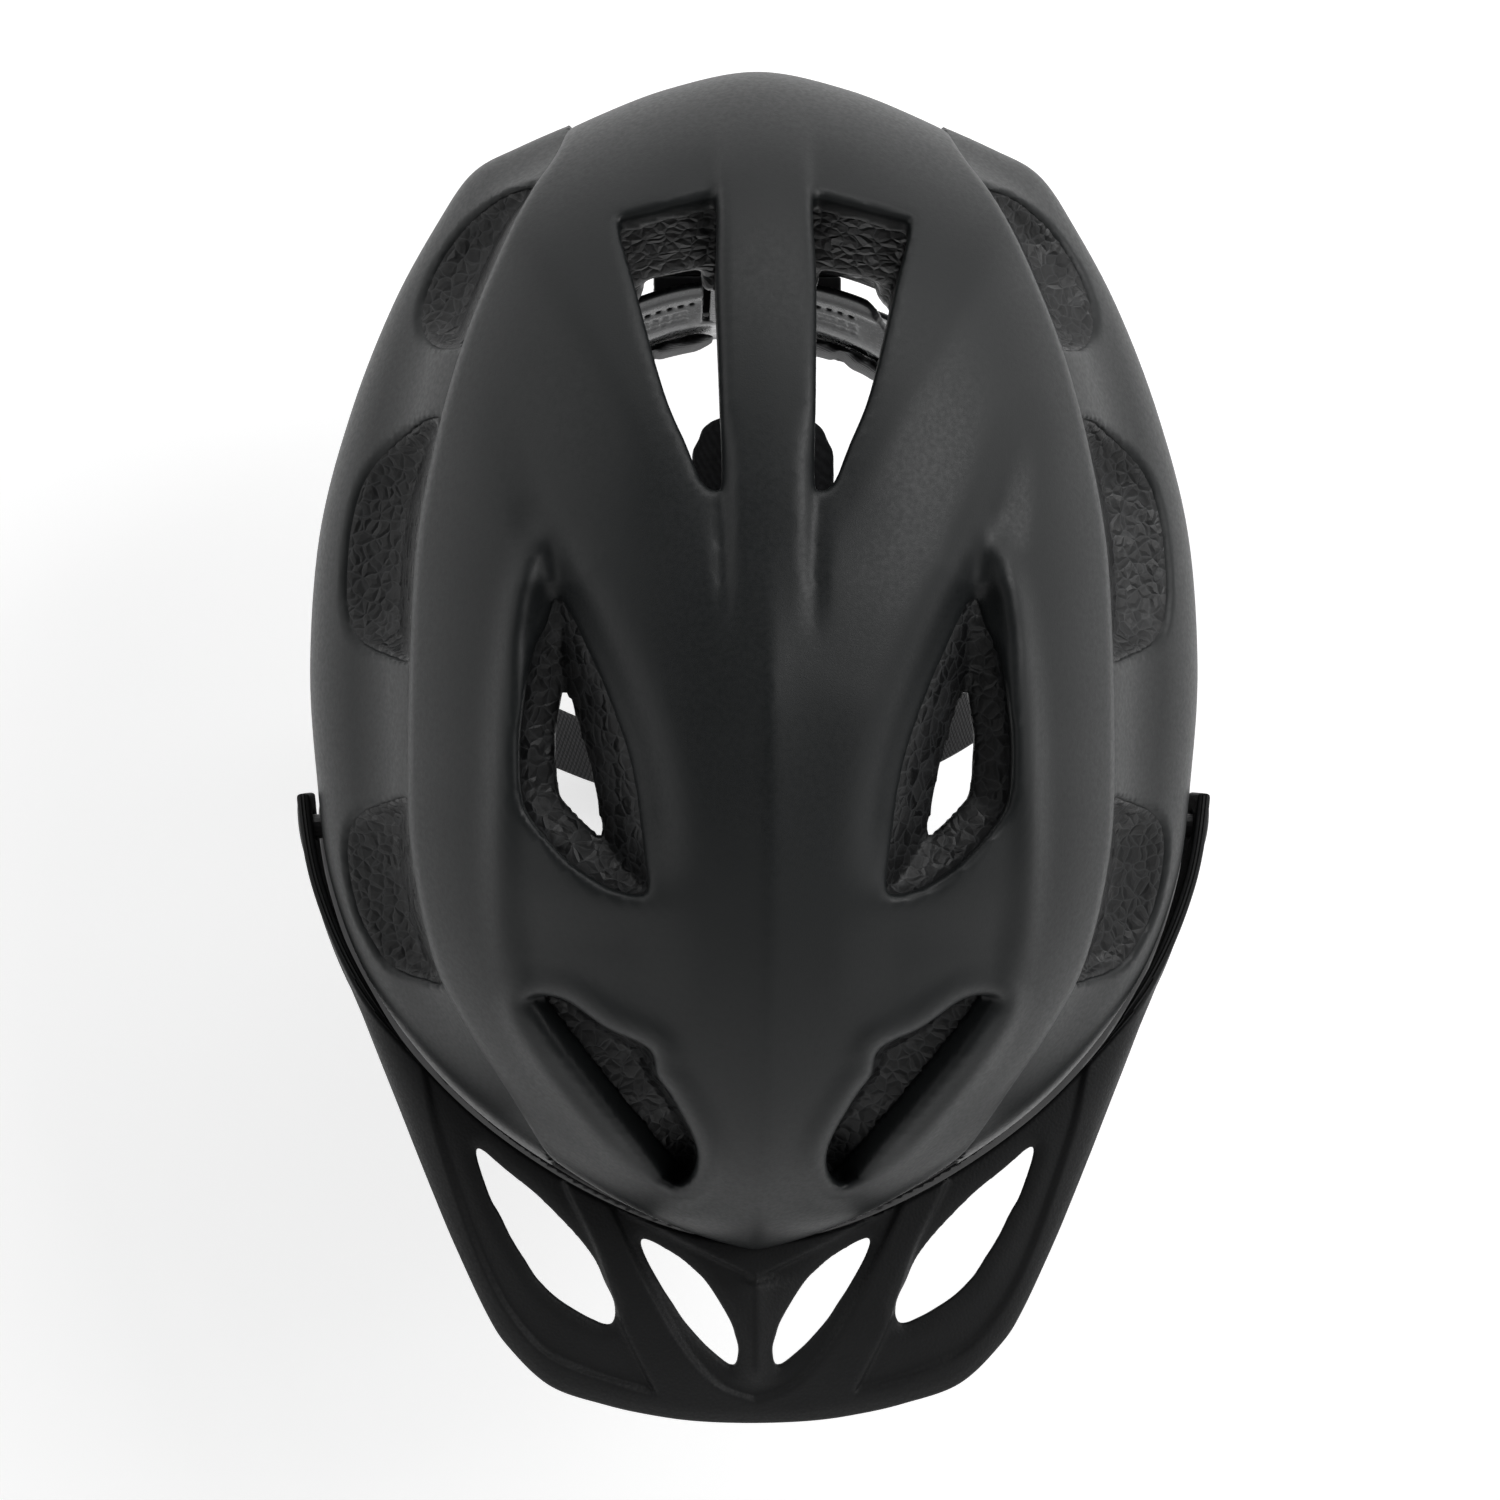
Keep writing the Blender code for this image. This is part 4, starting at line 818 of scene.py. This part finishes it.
def pillow(name, place, length, width, thick, corner, channels):
    """A flat cushion from place(a, b, depth): a and b run 0 to 1 along it and across it."""
    nu, nv = max(int(length / PAD_MESH), 8), max(int(width / PAD_MESH), 6)
    a, b = np.meshgrid(np.linspace(0, 1, nu + 1), np.linspace(0, 1, nv + 1), indexing="ij")
    # Rounded corners: the edge rows are drawn in towards the middle of the ends.
    reach_u = (np.abs(a - 0.5) - 0.5) * length + corner
    reach_v = (np.abs(b - 0.5) - 0.5) * width + corner
    both = np.clip(np.minimum(reach_u, reach_v) / corner, 0, 1)
    shrink = 1 - (1 - 1 / math.sqrt(2)) * both
    far = np.maximum(np.maximum(reach_u, reach_v), 0) / corner
    pull_u = np.where(reach_u > 0, (1 - shrink) * corner * far, 0) / length
    pull_v = np.where(reach_v > 0, (1 - shrink) * corner * far, 0) / width
    a = a - np.sign(a - 0.5) * pull_u
    b = b - np.sign(b - 0.5) * pull_v
    edge_u = np.minimum(a, 1 - a) * length
    edge_v = np.minimum(b, 1 - b) * width
    round_off = np.clip(np.minimum(edge_u, edge_v) / 3.0, 0, 1)
    fat = np.sqrt(np.maximum(1 - (1 - round_off) ** 2, 0)) * 0.42 * thick + 0.25
    back = place(a, b, thick / 2 - fat)
    face = place(a, b, thick / 2 + fat)
    count = (nu + 1) * (nv + 1)
    index = np.arange(count).reshape(nu + 1, nv + 1)
    quads = np.stack([index[:-1, :-1], index[1:, :-1], index[1:, 1:], index[:-1, 1:]],
                     -1).reshape(-1, 4)
    loop = np.concatenate([index[:, 0], index[-1, 1:], index[-2::-1, -1], index[0, -2:0:-1]])
    after = np.roll(loop, -1)
    rim = np.stack([loop, after, after + count, loop + count], 1)
    verts = np.concatenate([back.reshape(-1, 3), face.reshape(-1, 3)])
    faces = np.concatenate([quads, quads[:, ::-1] + count, rim[:, ::-1]])
    pad = mesh_object(name, verts, faces)
    swell(pad)
    sew(pad, place, thick, channels)
    return pad


def evaluated(made):
    """Applies an object's modifiers."""
    graph = bpy.context.evaluated_depsgraph_get()
    mesh = bpy.data.meshes.new_from_object(made.evaluated_get(graph))
    made.modifiers.clear()
    old = made.data
    made.data = mesh
    bpy.data.meshes.remove(old)


def points_of(made):
    flat = np.zeros(len(made.data.vertices) * 3, np.float32)
    made.data.vertices.foreach_get("co", flat)
    return flat.reshape(-1, 3).astype(float) / MM


def set_points(made, points):
    made.data.vertices.foreach_set("co", (points * MM).astype(np.float32).ravel())
    made.data.update()


def swell(pad):
    """Blows the pad up as cloth, by no more than the cap, and subdivides it."""
    remesh = pad.modifiers.new("even", "REMESH")
    remesh.mode = "VOXEL"
    remesh.voxel_size = PAD_MESH * MM
    evaluated(pad)
    rest = points_of(pad)
    cloth = pad.modifiers.new("cloth", "CLOTH")
    cloth.settings.use_pressure = True
    cloth.settings.uniform_pressure_force = SWELL_PRESSURE
    cloth.settings.effector_weights.gravity = 0.0
    cloth.settings.quality = 5
    cloth.collision_settings.use_collision = False
    cloth.point_cache.frame_start, cloth.point_cache.frame_end = 1, SWELL_FRAMES
    scene = bpy.context.scene
    for number in range(1, SWELL_FRAMES + 1):
        scene.frame_set(number)
    evaluated(pad)
    scene.frame_set(1)
    move = points_of(pad) - rest
    size = np.linalg.norm(move, axis=1, keepdims=True)
    set_points(pad, rest + move * np.minimum(1, SWELL_CAP / np.maximum(size, 1e-6)))
    finer = pad.modifiers.new("finer", "SUBSURF")
    finer.levels = finer.render_levels = 1
    evaluated(pad)
    pad.data.shade_smooth()


def sew(pad, place, thick, channels):
    """Presses sewn channels into the pad's face, given as (a, b) lines."""
    points = points_of(pad)
    for line in channels:
        line = np.array(line, float)
        t = np.linspace(0, 1, 80)
        a = np.interp(t, np.linspace(0, 1, len(line)), line[:, 0])
        b = np.interp(t, np.linspace(0, 1, len(line)), line[:, 1])
        seam = place(a, b, np.full(a.shape, thick + 0.4))
        deep = place(a, b, np.zeros(a.shape))
        gap = np.linalg.norm(points[:, None] - seam[None], axis=2)
        near = gap.argmin(1)
        gap = gap.min(1)
        inward = deep[near] - seam[near]
        inward /= np.linalg.norm(inward, axis=1, keepdims=True)
        points += inward * (1.5 * np.exp(-(gap / 1.8) ** 2))[:, None]
    set_points(pad, points)


def around_head(bearings, rises):
    """The place of a pad on the head space, from its bearings and rises in degrees."""
    low, high = np.radians(bearings[0]), np.radians(bearings[1])
    first, last = np.radians(rises[0]), np.radians(rises[1])
    return lambda a, b, depth: head_place(low + (high - low) * a, first + (last - first) * b,
                                          -PAD_GAP - depth)


def roof_place(a, b, depth):
    x, y = (a - 0.5) * 34, -50 + 110 * b
    z = HEAD_HEIGHT * (1 - head_plan(x, y) ** (RISE_POWER / PLAN_POWER)) ** (1 / RISE_POWER)
    return np.stack([x, y, z - 2.3 - depth], -1)


def nape_place(sign):
    def place(a, b, depth):
        back = ring_place(sign * (8 + 33 * a), -69 + 26 * b, 0.0)
        near = ring_place(sign * (8 + 33 * a), -69 + 26 * b, 12.5)
        inward = near - back
        inward /= np.linalg.norm(inward, axis=-1, keepdims=True)
        return near + inward * (PAD_GAP + depth)[..., None]
    return place


def across_lines(*positions):
    return [[(a, 0.12), (a, 0.88)] for a in positions]


for name, place, length, width, thick, corner, channels in (
        ("front_pad_cushion", around_head((-46, 46), (-4, 9)), 142, 20, 5.4, 8,
         across_lines(0.2, 0.4, 0.6, 0.8)),
        ("side_pad_left_cushion", around_head((66, 118), (9, 20)), 80, 16, 5.4, 7,
         across_lines(0.33, 0.67)),
        ("side_pad_right_cushion", around_head((-118, -66), (9, 20)), 80, 16, 5.4, 7,
         across_lines(0.33, 0.67)),
        ("crown_pad_cushion", roof_place, 34, 110, 6.0, 12,
         [[(0.1, b), (0.9, b)] for b in (0.25, 0.5, 0.75)]),
        ("nape_pad_left_cushion", nape_place(1), 33, 26, 2.8, 7, across_lines(0.5)),
        ("nape_pad_right_cushion", nape_place(-1), 33, 26, 2.8, 7, across_lines(0.5))):
    cushion = pillow(name, place, length, width, thick, corner, channels)
    node = name.replace("_cushion", "")
    finish_piece(cushion, CLOTH, "pad_fabric", "cradle" if "nape" in name else "helmet", node)


# ---------------------------------------------------------------- webbing
WEB, WEB_THICK = 16.0, 1.5


def ribbon(name, path, wide, width, thickness):
    """Flat band along a path, with rounded edges and weave coordinates."""
    line = smooth_line(path, 14)
    seg = np.linalg.norm(np.diff(line, axis=0), axis=1)
    length = np.concatenate([[0], np.cumsum(seg)])
    count = int(length[-1] / 1.2)
    stops = np.linspace(0, length[-1], count + 1)
    line = np.stack([np.interp(stops, length, line[:, k]) for k in range(3)], 1)
    tangent = np.gradient(line, axis=0)
    tangent /= np.linalg.norm(tangent, axis=1, keepdims=True)
    wide = np.broadcast_to(np.array(wide, float), line.shape)
    out = np.cross(tangent, wide)
    out /= np.linalg.norm(out, axis=1, keepdims=True)
    side = np.cross(out, tangent)
    side *= np.sign((side * wide).sum(1))[:, None]
    half, thin = width / 2, thickness / 2
    turn = np.linspace(0, math.tau, 29)[:-1]
    sx = np.sign(np.cos(turn)) * np.abs(np.cos(turn)) ** 0.28 * half
    sy = np.sign(np.sin(turn)) * np.abs(np.sin(turn)) ** 0.55 * thin
    ring = len(turn)
    verts = (line[:, None] + side[:, None] * sx[None, :, None]
             + out[:, None] * sy[None, :, None]).reshape(-1, 3)
    index = np.arange(len(verts)).reshape(count + 1, ring)
    turned = np.roll(index, -1, axis=1)
    quads = np.stack([index[:-1], index[1:], turned[1:], turned[:-1]], -1).reshape(-1, 4)
    made = mesh_object(name, verts, quads)
    cap = made.data
    work = bmesh.new()
    work.from_mesh(cap)
    work.verts.ensure_lookup_table()
    for row in (index[0], index[-1][::-1]):
        work.faces.new([work.verts[i] for i in row])
    work.normal_update()
    work.to_mesh(cap)
    work.free()
    layer = cap.uv_layers.new(name="weave")
    u = np.repeat(stops, ring) * MM
    v = np.tile(sx, count + 1) * MM
    corners = np.zeros(len(cap.loops), np.int32)
    cap.loops.foreach_get("vertex_index", corners)
    layer.data.foreach_set("uv", np.stack([u[corners], v[corners]], 1).astype(
        np.float32).ravel())
    return made, line, side, out, stops


def stitches(name, line, side, out, stops, stop):
    """Four rows of thread across the webbing around a stop, on both faces."""
    verts, faces = [], []
    turn = np.linspace(0, math.tau, 7)[:-1]
    for row in range(4):
        where = stop + (row - 1.5) * 1.7
        base = np.array([np.interp(where, stops, line[:, k]) for k in range(3)])
        i = int(np.clip(np.searchsorted(stops, where), 0, len(stops) - 1))
        s, o = side[i], out[i]
        t = np.cross(s, o)
        for face, column in itertools.product((-1, 1), np.arange(-5.2, 5.3, 2.6)):
            middle = base + s * column + o * face * (WEB_THICK / 2)
            start = len(verts)
            for share, radius in ((-1.0, 0.12), (-0.75, 0.3), (0, 0.36), (0.75, 0.3),
                                  (1.0, 0.12)):
                spine = middle + s * share * 1.15 + t * share * 0.35
                for angle in turn:
                    verts.append(spine + t * math.cos(angle) * radius
                                 + o * math.sin(angle) * radius * 0.8)
            for k, j in itertools.product(range(4), range(6)):
                a, b = start + 6 * k + j, start + 6 * k + (j + 1) % 6
                faces.append((a, b, b + 6, a + 6))
    return mesh_object(name, np.array(verts), np.array(faces))


def strap(node, path, tack, crossing=None):
    """Webbing sewn at a distance from its start, or with a minus from its end."""
    body = None if crossing else "helmet"
    made, line, side, out, stops = ribbon(node + "_webbing", path, (0, 1, 0), WEB, WEB_THICK)
    finish_piece(made, WEBBING, "webbing", body, node)
    where = tack if tack >= 0 else stops[-1] + tack
    thread = stitches(node + "_tack", line, side, out, stops, where)
    finish_piece(thread, THREAD, "webbing", body)
    if crossing:
        crossing(made)
        crossing(thread)


FRONT_PATH = [(88.5, -30, -29.2), (88, -24.5, -45), (83.8, -12, -66), (79, -1, -81),
              (75.8, 3, -87.6)]
REAR_PATH = [(88.5, 40, -25), (86.8, 34.5, -42), (80.6, 20, -64), (75, 8, -80),
             (73.2, 5, -87.6)]
for side_name, sign in (("left", 1), ("right", -1)):
    for node, path in (("front_strap_", FRONT_PATH), ("rear_strap_", REAR_PATH)):
        strap(node + side_name, [(sign * x, y, z) for x, y, z in path], 9.0)
strap("chin_strap_left", [(74.5, 4, -114.4), (71.5, -1, -129), (60, -9.5, -144),
                          (44, -17.5, -153.5), (30.6, -22, -156)], -9.0)
strap("chin_strap_right", [(-74.5, 4, -114.4), (-71, -1, -129), (-58, -9.5, -145),
                           (-38, -18, -154.5), (-21.6, -22, -156)], -9.0,
      crossing=lambda made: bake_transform(made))


# ---------------------------------------------------------------- nape cradle, belts, hanger
def cradle_piece():
    """A cup behind the head: an upright part with a ladder of slots, and two leaning lobes."""
    half, rise, cells = 46.0, 62.0, 0.85
    xs = np.arange(-half, half + cells, cells)
    ts = np.arange(0, rise + cells, cells)
    x, t = np.meshgrid(xs, ts, indexing="ij")
    lean = np.maximum(t - 33, 0)
    inset = 12.5 - 8.0 * (np.sqrt(lean * lean + 16) - 4) / 25.3
    z = -74 + np.minimum(t, 33) + lean * 0.92
    sheet = ring_place(x, z, inset)
    normal = unit_normals(sheet)
    normal *= np.sign(normal[len(xs) // 2, 5, 1])
    top = 59.5 - 23.5 * ramp(np.abs(x), 28, 43)
    corner = np.hypot(np.maximum(np.abs(x) - (half - 8), 0), np.maximum(9 - t, 0)) - 8
    edge = smax(smax(t - top, 1.0 - t, 2.0), np.abs(x) - (half - 1.0), 3.0)
    edge = np.maximum(edge, np.where((np.abs(x) > half - 8) & (t < 9), corner, -99))
    notch = np.maximum(np.abs(x) - 11.6, 37.5 - t)
    edge = smax(edge, -notch, 2.5)

    def slots(rows, columns, wide, high):
        best = np.full(x.shape, 99.0)
        for row, column in itertools.product(rows, columns):
            dx = np.maximum(np.abs(np.abs(x) - column) - (wide / 2 - 0.6), 0)
            dt = np.maximum(np.abs(t - row) - (high / 2 - 0.6), 0)
            best = np.minimum(best, np.hypot(dx, dt) - 0.6)
        return best

    holes = np.minimum(slots((10.5, 20, 29.5), (29, 34.5, 40), 3.2, 5.6),
                       slots((49.5,), (14.6, 17.4, 20.2, 23.0, 25.8), 1.3, 1.8))
    edge = smax(edge, -holes, 0.5)
    ticks = slots((41.5, 43.6, 45.7), (17.0, 19.4, 21.8, 24.2, 26.6), 1.5, 1.0)
    sunk = 0.55 * np.exp(-(np.maximum(ticks, 0) / 0.5) ** 2)
    rib = 0.7 * np.exp(-((t - 54.5) / 1.5) ** 2) + 0.5 * np.exp(-((t - 4.5) / 1.6) ** 2)
    low, layers, layer = -2.4, 17, 0.3
    w = np.linspace(low, -low, layers)[None, None, :]
    inner = -(w + 1.0 + (rib - sunk)[:, :, None])
    field = smax(smax(inner, w - 1.0, 0.6), edge[:, :, None], 0.9)
    return bent(field, sheet, normal, np.array([cells, cells, layer]), low)


finish_piece(mesh_object("nape_cup", *cradle_piece()), CRADLE, "cradle_plastic", "cradle",
             "nape_cradle")


def belt_path(sign):
    """From the temple anchor around the head ring to the dial housing."""
    share = np.linspace(0, 1, 23)[:-1]
    bearing = np.radians(114 - 96 * share)
    s, c = np.sin(bearing), np.cos(bearing)
    x = np.sign(s) * np.abs(s) ** (2 / PLAN_POWER) * (HEAD_WIDTH - 3)
    y = np.sign(c) * np.abs(c) ** (2 / PLAN_POWER) * (HEAD_LENGTH - 3)
    z = -8 - 48 * share ** 1.6
    keep = x > 26.5
    path = [(sign * a, b, d) for a, b, d in zip(x[keep], y[keep], z[keep])]
    return path + [(sign * 24.5, float(ring_place(np.array([24.5]), -56, 3.0)[0, 1]), -56.0)]


for side_name, sign in (("left", 1), ("right", -1)):
    made, *_ = ribbon("belt_" + side_name + "_band", belt_path(sign), (0, 0, 1), 12.0, 1.6)
    finish_piece(made, CRADLE, "cradle_plastic", None, "belt_" + side_name)
    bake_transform(made)
made, *_ = ribbon("hanger_strip", [(0, 93.2, -37.4), (0, 95.5, -26), (0, 99, -10),
                                   (0, 100.5, 4), (0, 100.5, 14)], (1, 0, 0), 20.0, 1.4)
finish_piece(made, CRADLE, "cradle_plastic", None, "cradle_hanger")
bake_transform(made)


# ---------------------------------------------------------------- rounded hardware
def softened(node, body, width):
    """The CAD solid with rolled edges, for the moulded parts."""
    made = bpy.data.objects.new(node + "_moulded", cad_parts[node].data.copy())
    made.matrix_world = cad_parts[node].matrix_world
    bpy.context.scene.collection.objects.link(made)
    work = bmesh.new()
    work.from_mesh(made.data)
    bmesh.ops.remove_doubles(work, verts=work.verts, dist=0.00001)
    bmesh.ops.dissolve_limit(work, angle_limit=math.radians(2), verts=work.verts,
                             edges=work.edges)
    work.to_mesh(made.data)
    work.free()
    bevel = made.modifiers.new("edges", "BEVEL")
    bevel.width, bevel.segments = width * MM, 3
    bevel.limit_method, bevel.angle_limit = "ANGLE", math.radians(38)
    bevel.harden_normals = True
    made.data.shade_smooth()
    evaluated(made)
    finish_piece(made, PLASTIC, "plastic", body, node)


HARDWARE = (
    ("temple_anchor_left", "helmet", 0.5), ("temple_anchor_right", "helmet", 0.5),
    ("hanger_anchor", "helmet", 0.4), ("front_anchor_left", "helmet", 0.7),
    ("front_anchor_right", "helmet", 0.7), ("rear_anchor_left", "helmet", 0.7),
    ("rear_anchor_right", "helmet", 0.7), ("divider_lever_left", "lever_left", 0.5),
    ("divider_lever_right", "lever_right", 0.5), ("dial_housing", "cradle", 0.6),
    ("housing_cover", "cradle", 0.7), ("buckle_socket", "helmet", 0.8),
    ("buckle_plug", "plug", 0.7), ("buckle_prong_front", "prong_front", 0.8),
    ("buckle_prong_rear", "prong_rear", 0.8))
for node, body, width in HARDWARE:
    softened(node, body, width)

# ---------------------------------------------------------------- materials on CAD nodes
PLAIN = {
    PLASTIC: ("visor_socket_left", "visor_socket_right", "visor_pin_left", "visor_pin_right",
              "dial_pinion", "rack_left", "rack_right", "divider_left", "divider_right"),
    RUBBER: ("dial_knob",),
}
for finish, names in PLAIN.items():
    for name in names:
        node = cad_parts[name]
        node.data.materials.clear()
        node.data.materials.append(finish)

# ---------------------------------------------------------------- floor, light and camera
FLOOR_Z = cad_box[0][2] - 0.004            # just under the buckle
bpy.ops.mesh.primitive_plane_add(size=6.0, location=(0, 0, FLOOR_Z))
floor = bpy.context.object
floor.name = "floor"
floor.data.materials.append(floor_material())

world = bpy.data.worlds.new("soft_studio")
bpy.context.scene.world = world
world.use_nodes = True
tree = world.node_tree
split = tree.nodes.new("ShaderNodeSeparateXYZ")
tree.links.new(tree.nodes.new("ShaderNodeTexCoord").outputs["Generated"], split.inputs[0])
fade = tree.nodes.new("ShaderNodeMapRange")
tree.links.new(split.outputs[2], fade.inputs["Value"])
for key, number in (("From Min", 0.45), ("From Max", 0.90), ("To Min", 0.80), ("To Max", 0.06)):
    fade.inputs[key].default_value = number
tree.links.new(fade.outputs["Result"], tree.nodes["Background"].inputs["Strength"])
tree.nodes["Background"].inputs["Color"].default_value = (1.0, 1.0, 1.0, 1.0)
bpy.context.scene.view_settings.view_transform = "Standard"


def area_light(name, place, size, power):
    """A soft box that faces the helmet."""
    data = bpy.data.lights.new(name, "AREA")
    data.shape = "RECTANGLE"
    data.size, data.size_y = size
    data.energy = power
    lamp = bpy.data.objects.new(name, data)
    lamp.location = place
    lamp.rotation_mode = "QUATERNION"
    lamp.rotation_quaternion = (-Vector(place)).to_track_quat("-Z", "Y")
    bpy.context.scene.collection.objects.link(lamp)


area_light("left_box", (-1.2, 0.6, 0.8), (0.5, 1.2), 1.2)
area_light("right_box", (1.0, 0.5, 1.0), (0.6, 1.2), 9.0)
area_light("rear_box", (0.2, 1.3, 0.9), (1.2, 0.5), 5.0)

LEAN = math.radians(1.65)                  # the camera stands a little to the left
DISTANCE = 0.925
SENSOR = 36.0
FOCAL_RATIO = 2.522                        # focal length over sensor width
camera_data = bpy.data.cameras.new("camera")
camera_data.sensor_width = SENSOR
camera_data.lens = SENSOR * FOCAL_RATIO
camera = bpy.data.objects.new("camera", camera_data)
camera.location = (-0.0006 - DISTANCE * math.sin(LEAN), -0.0162, DISTANCE * math.cos(LEAN))
camera.rotation_euler = (0, -LEAN, 0)
bpy.context.scene.collection.objects.link(camera)
bpy.context.scene.camera = camera
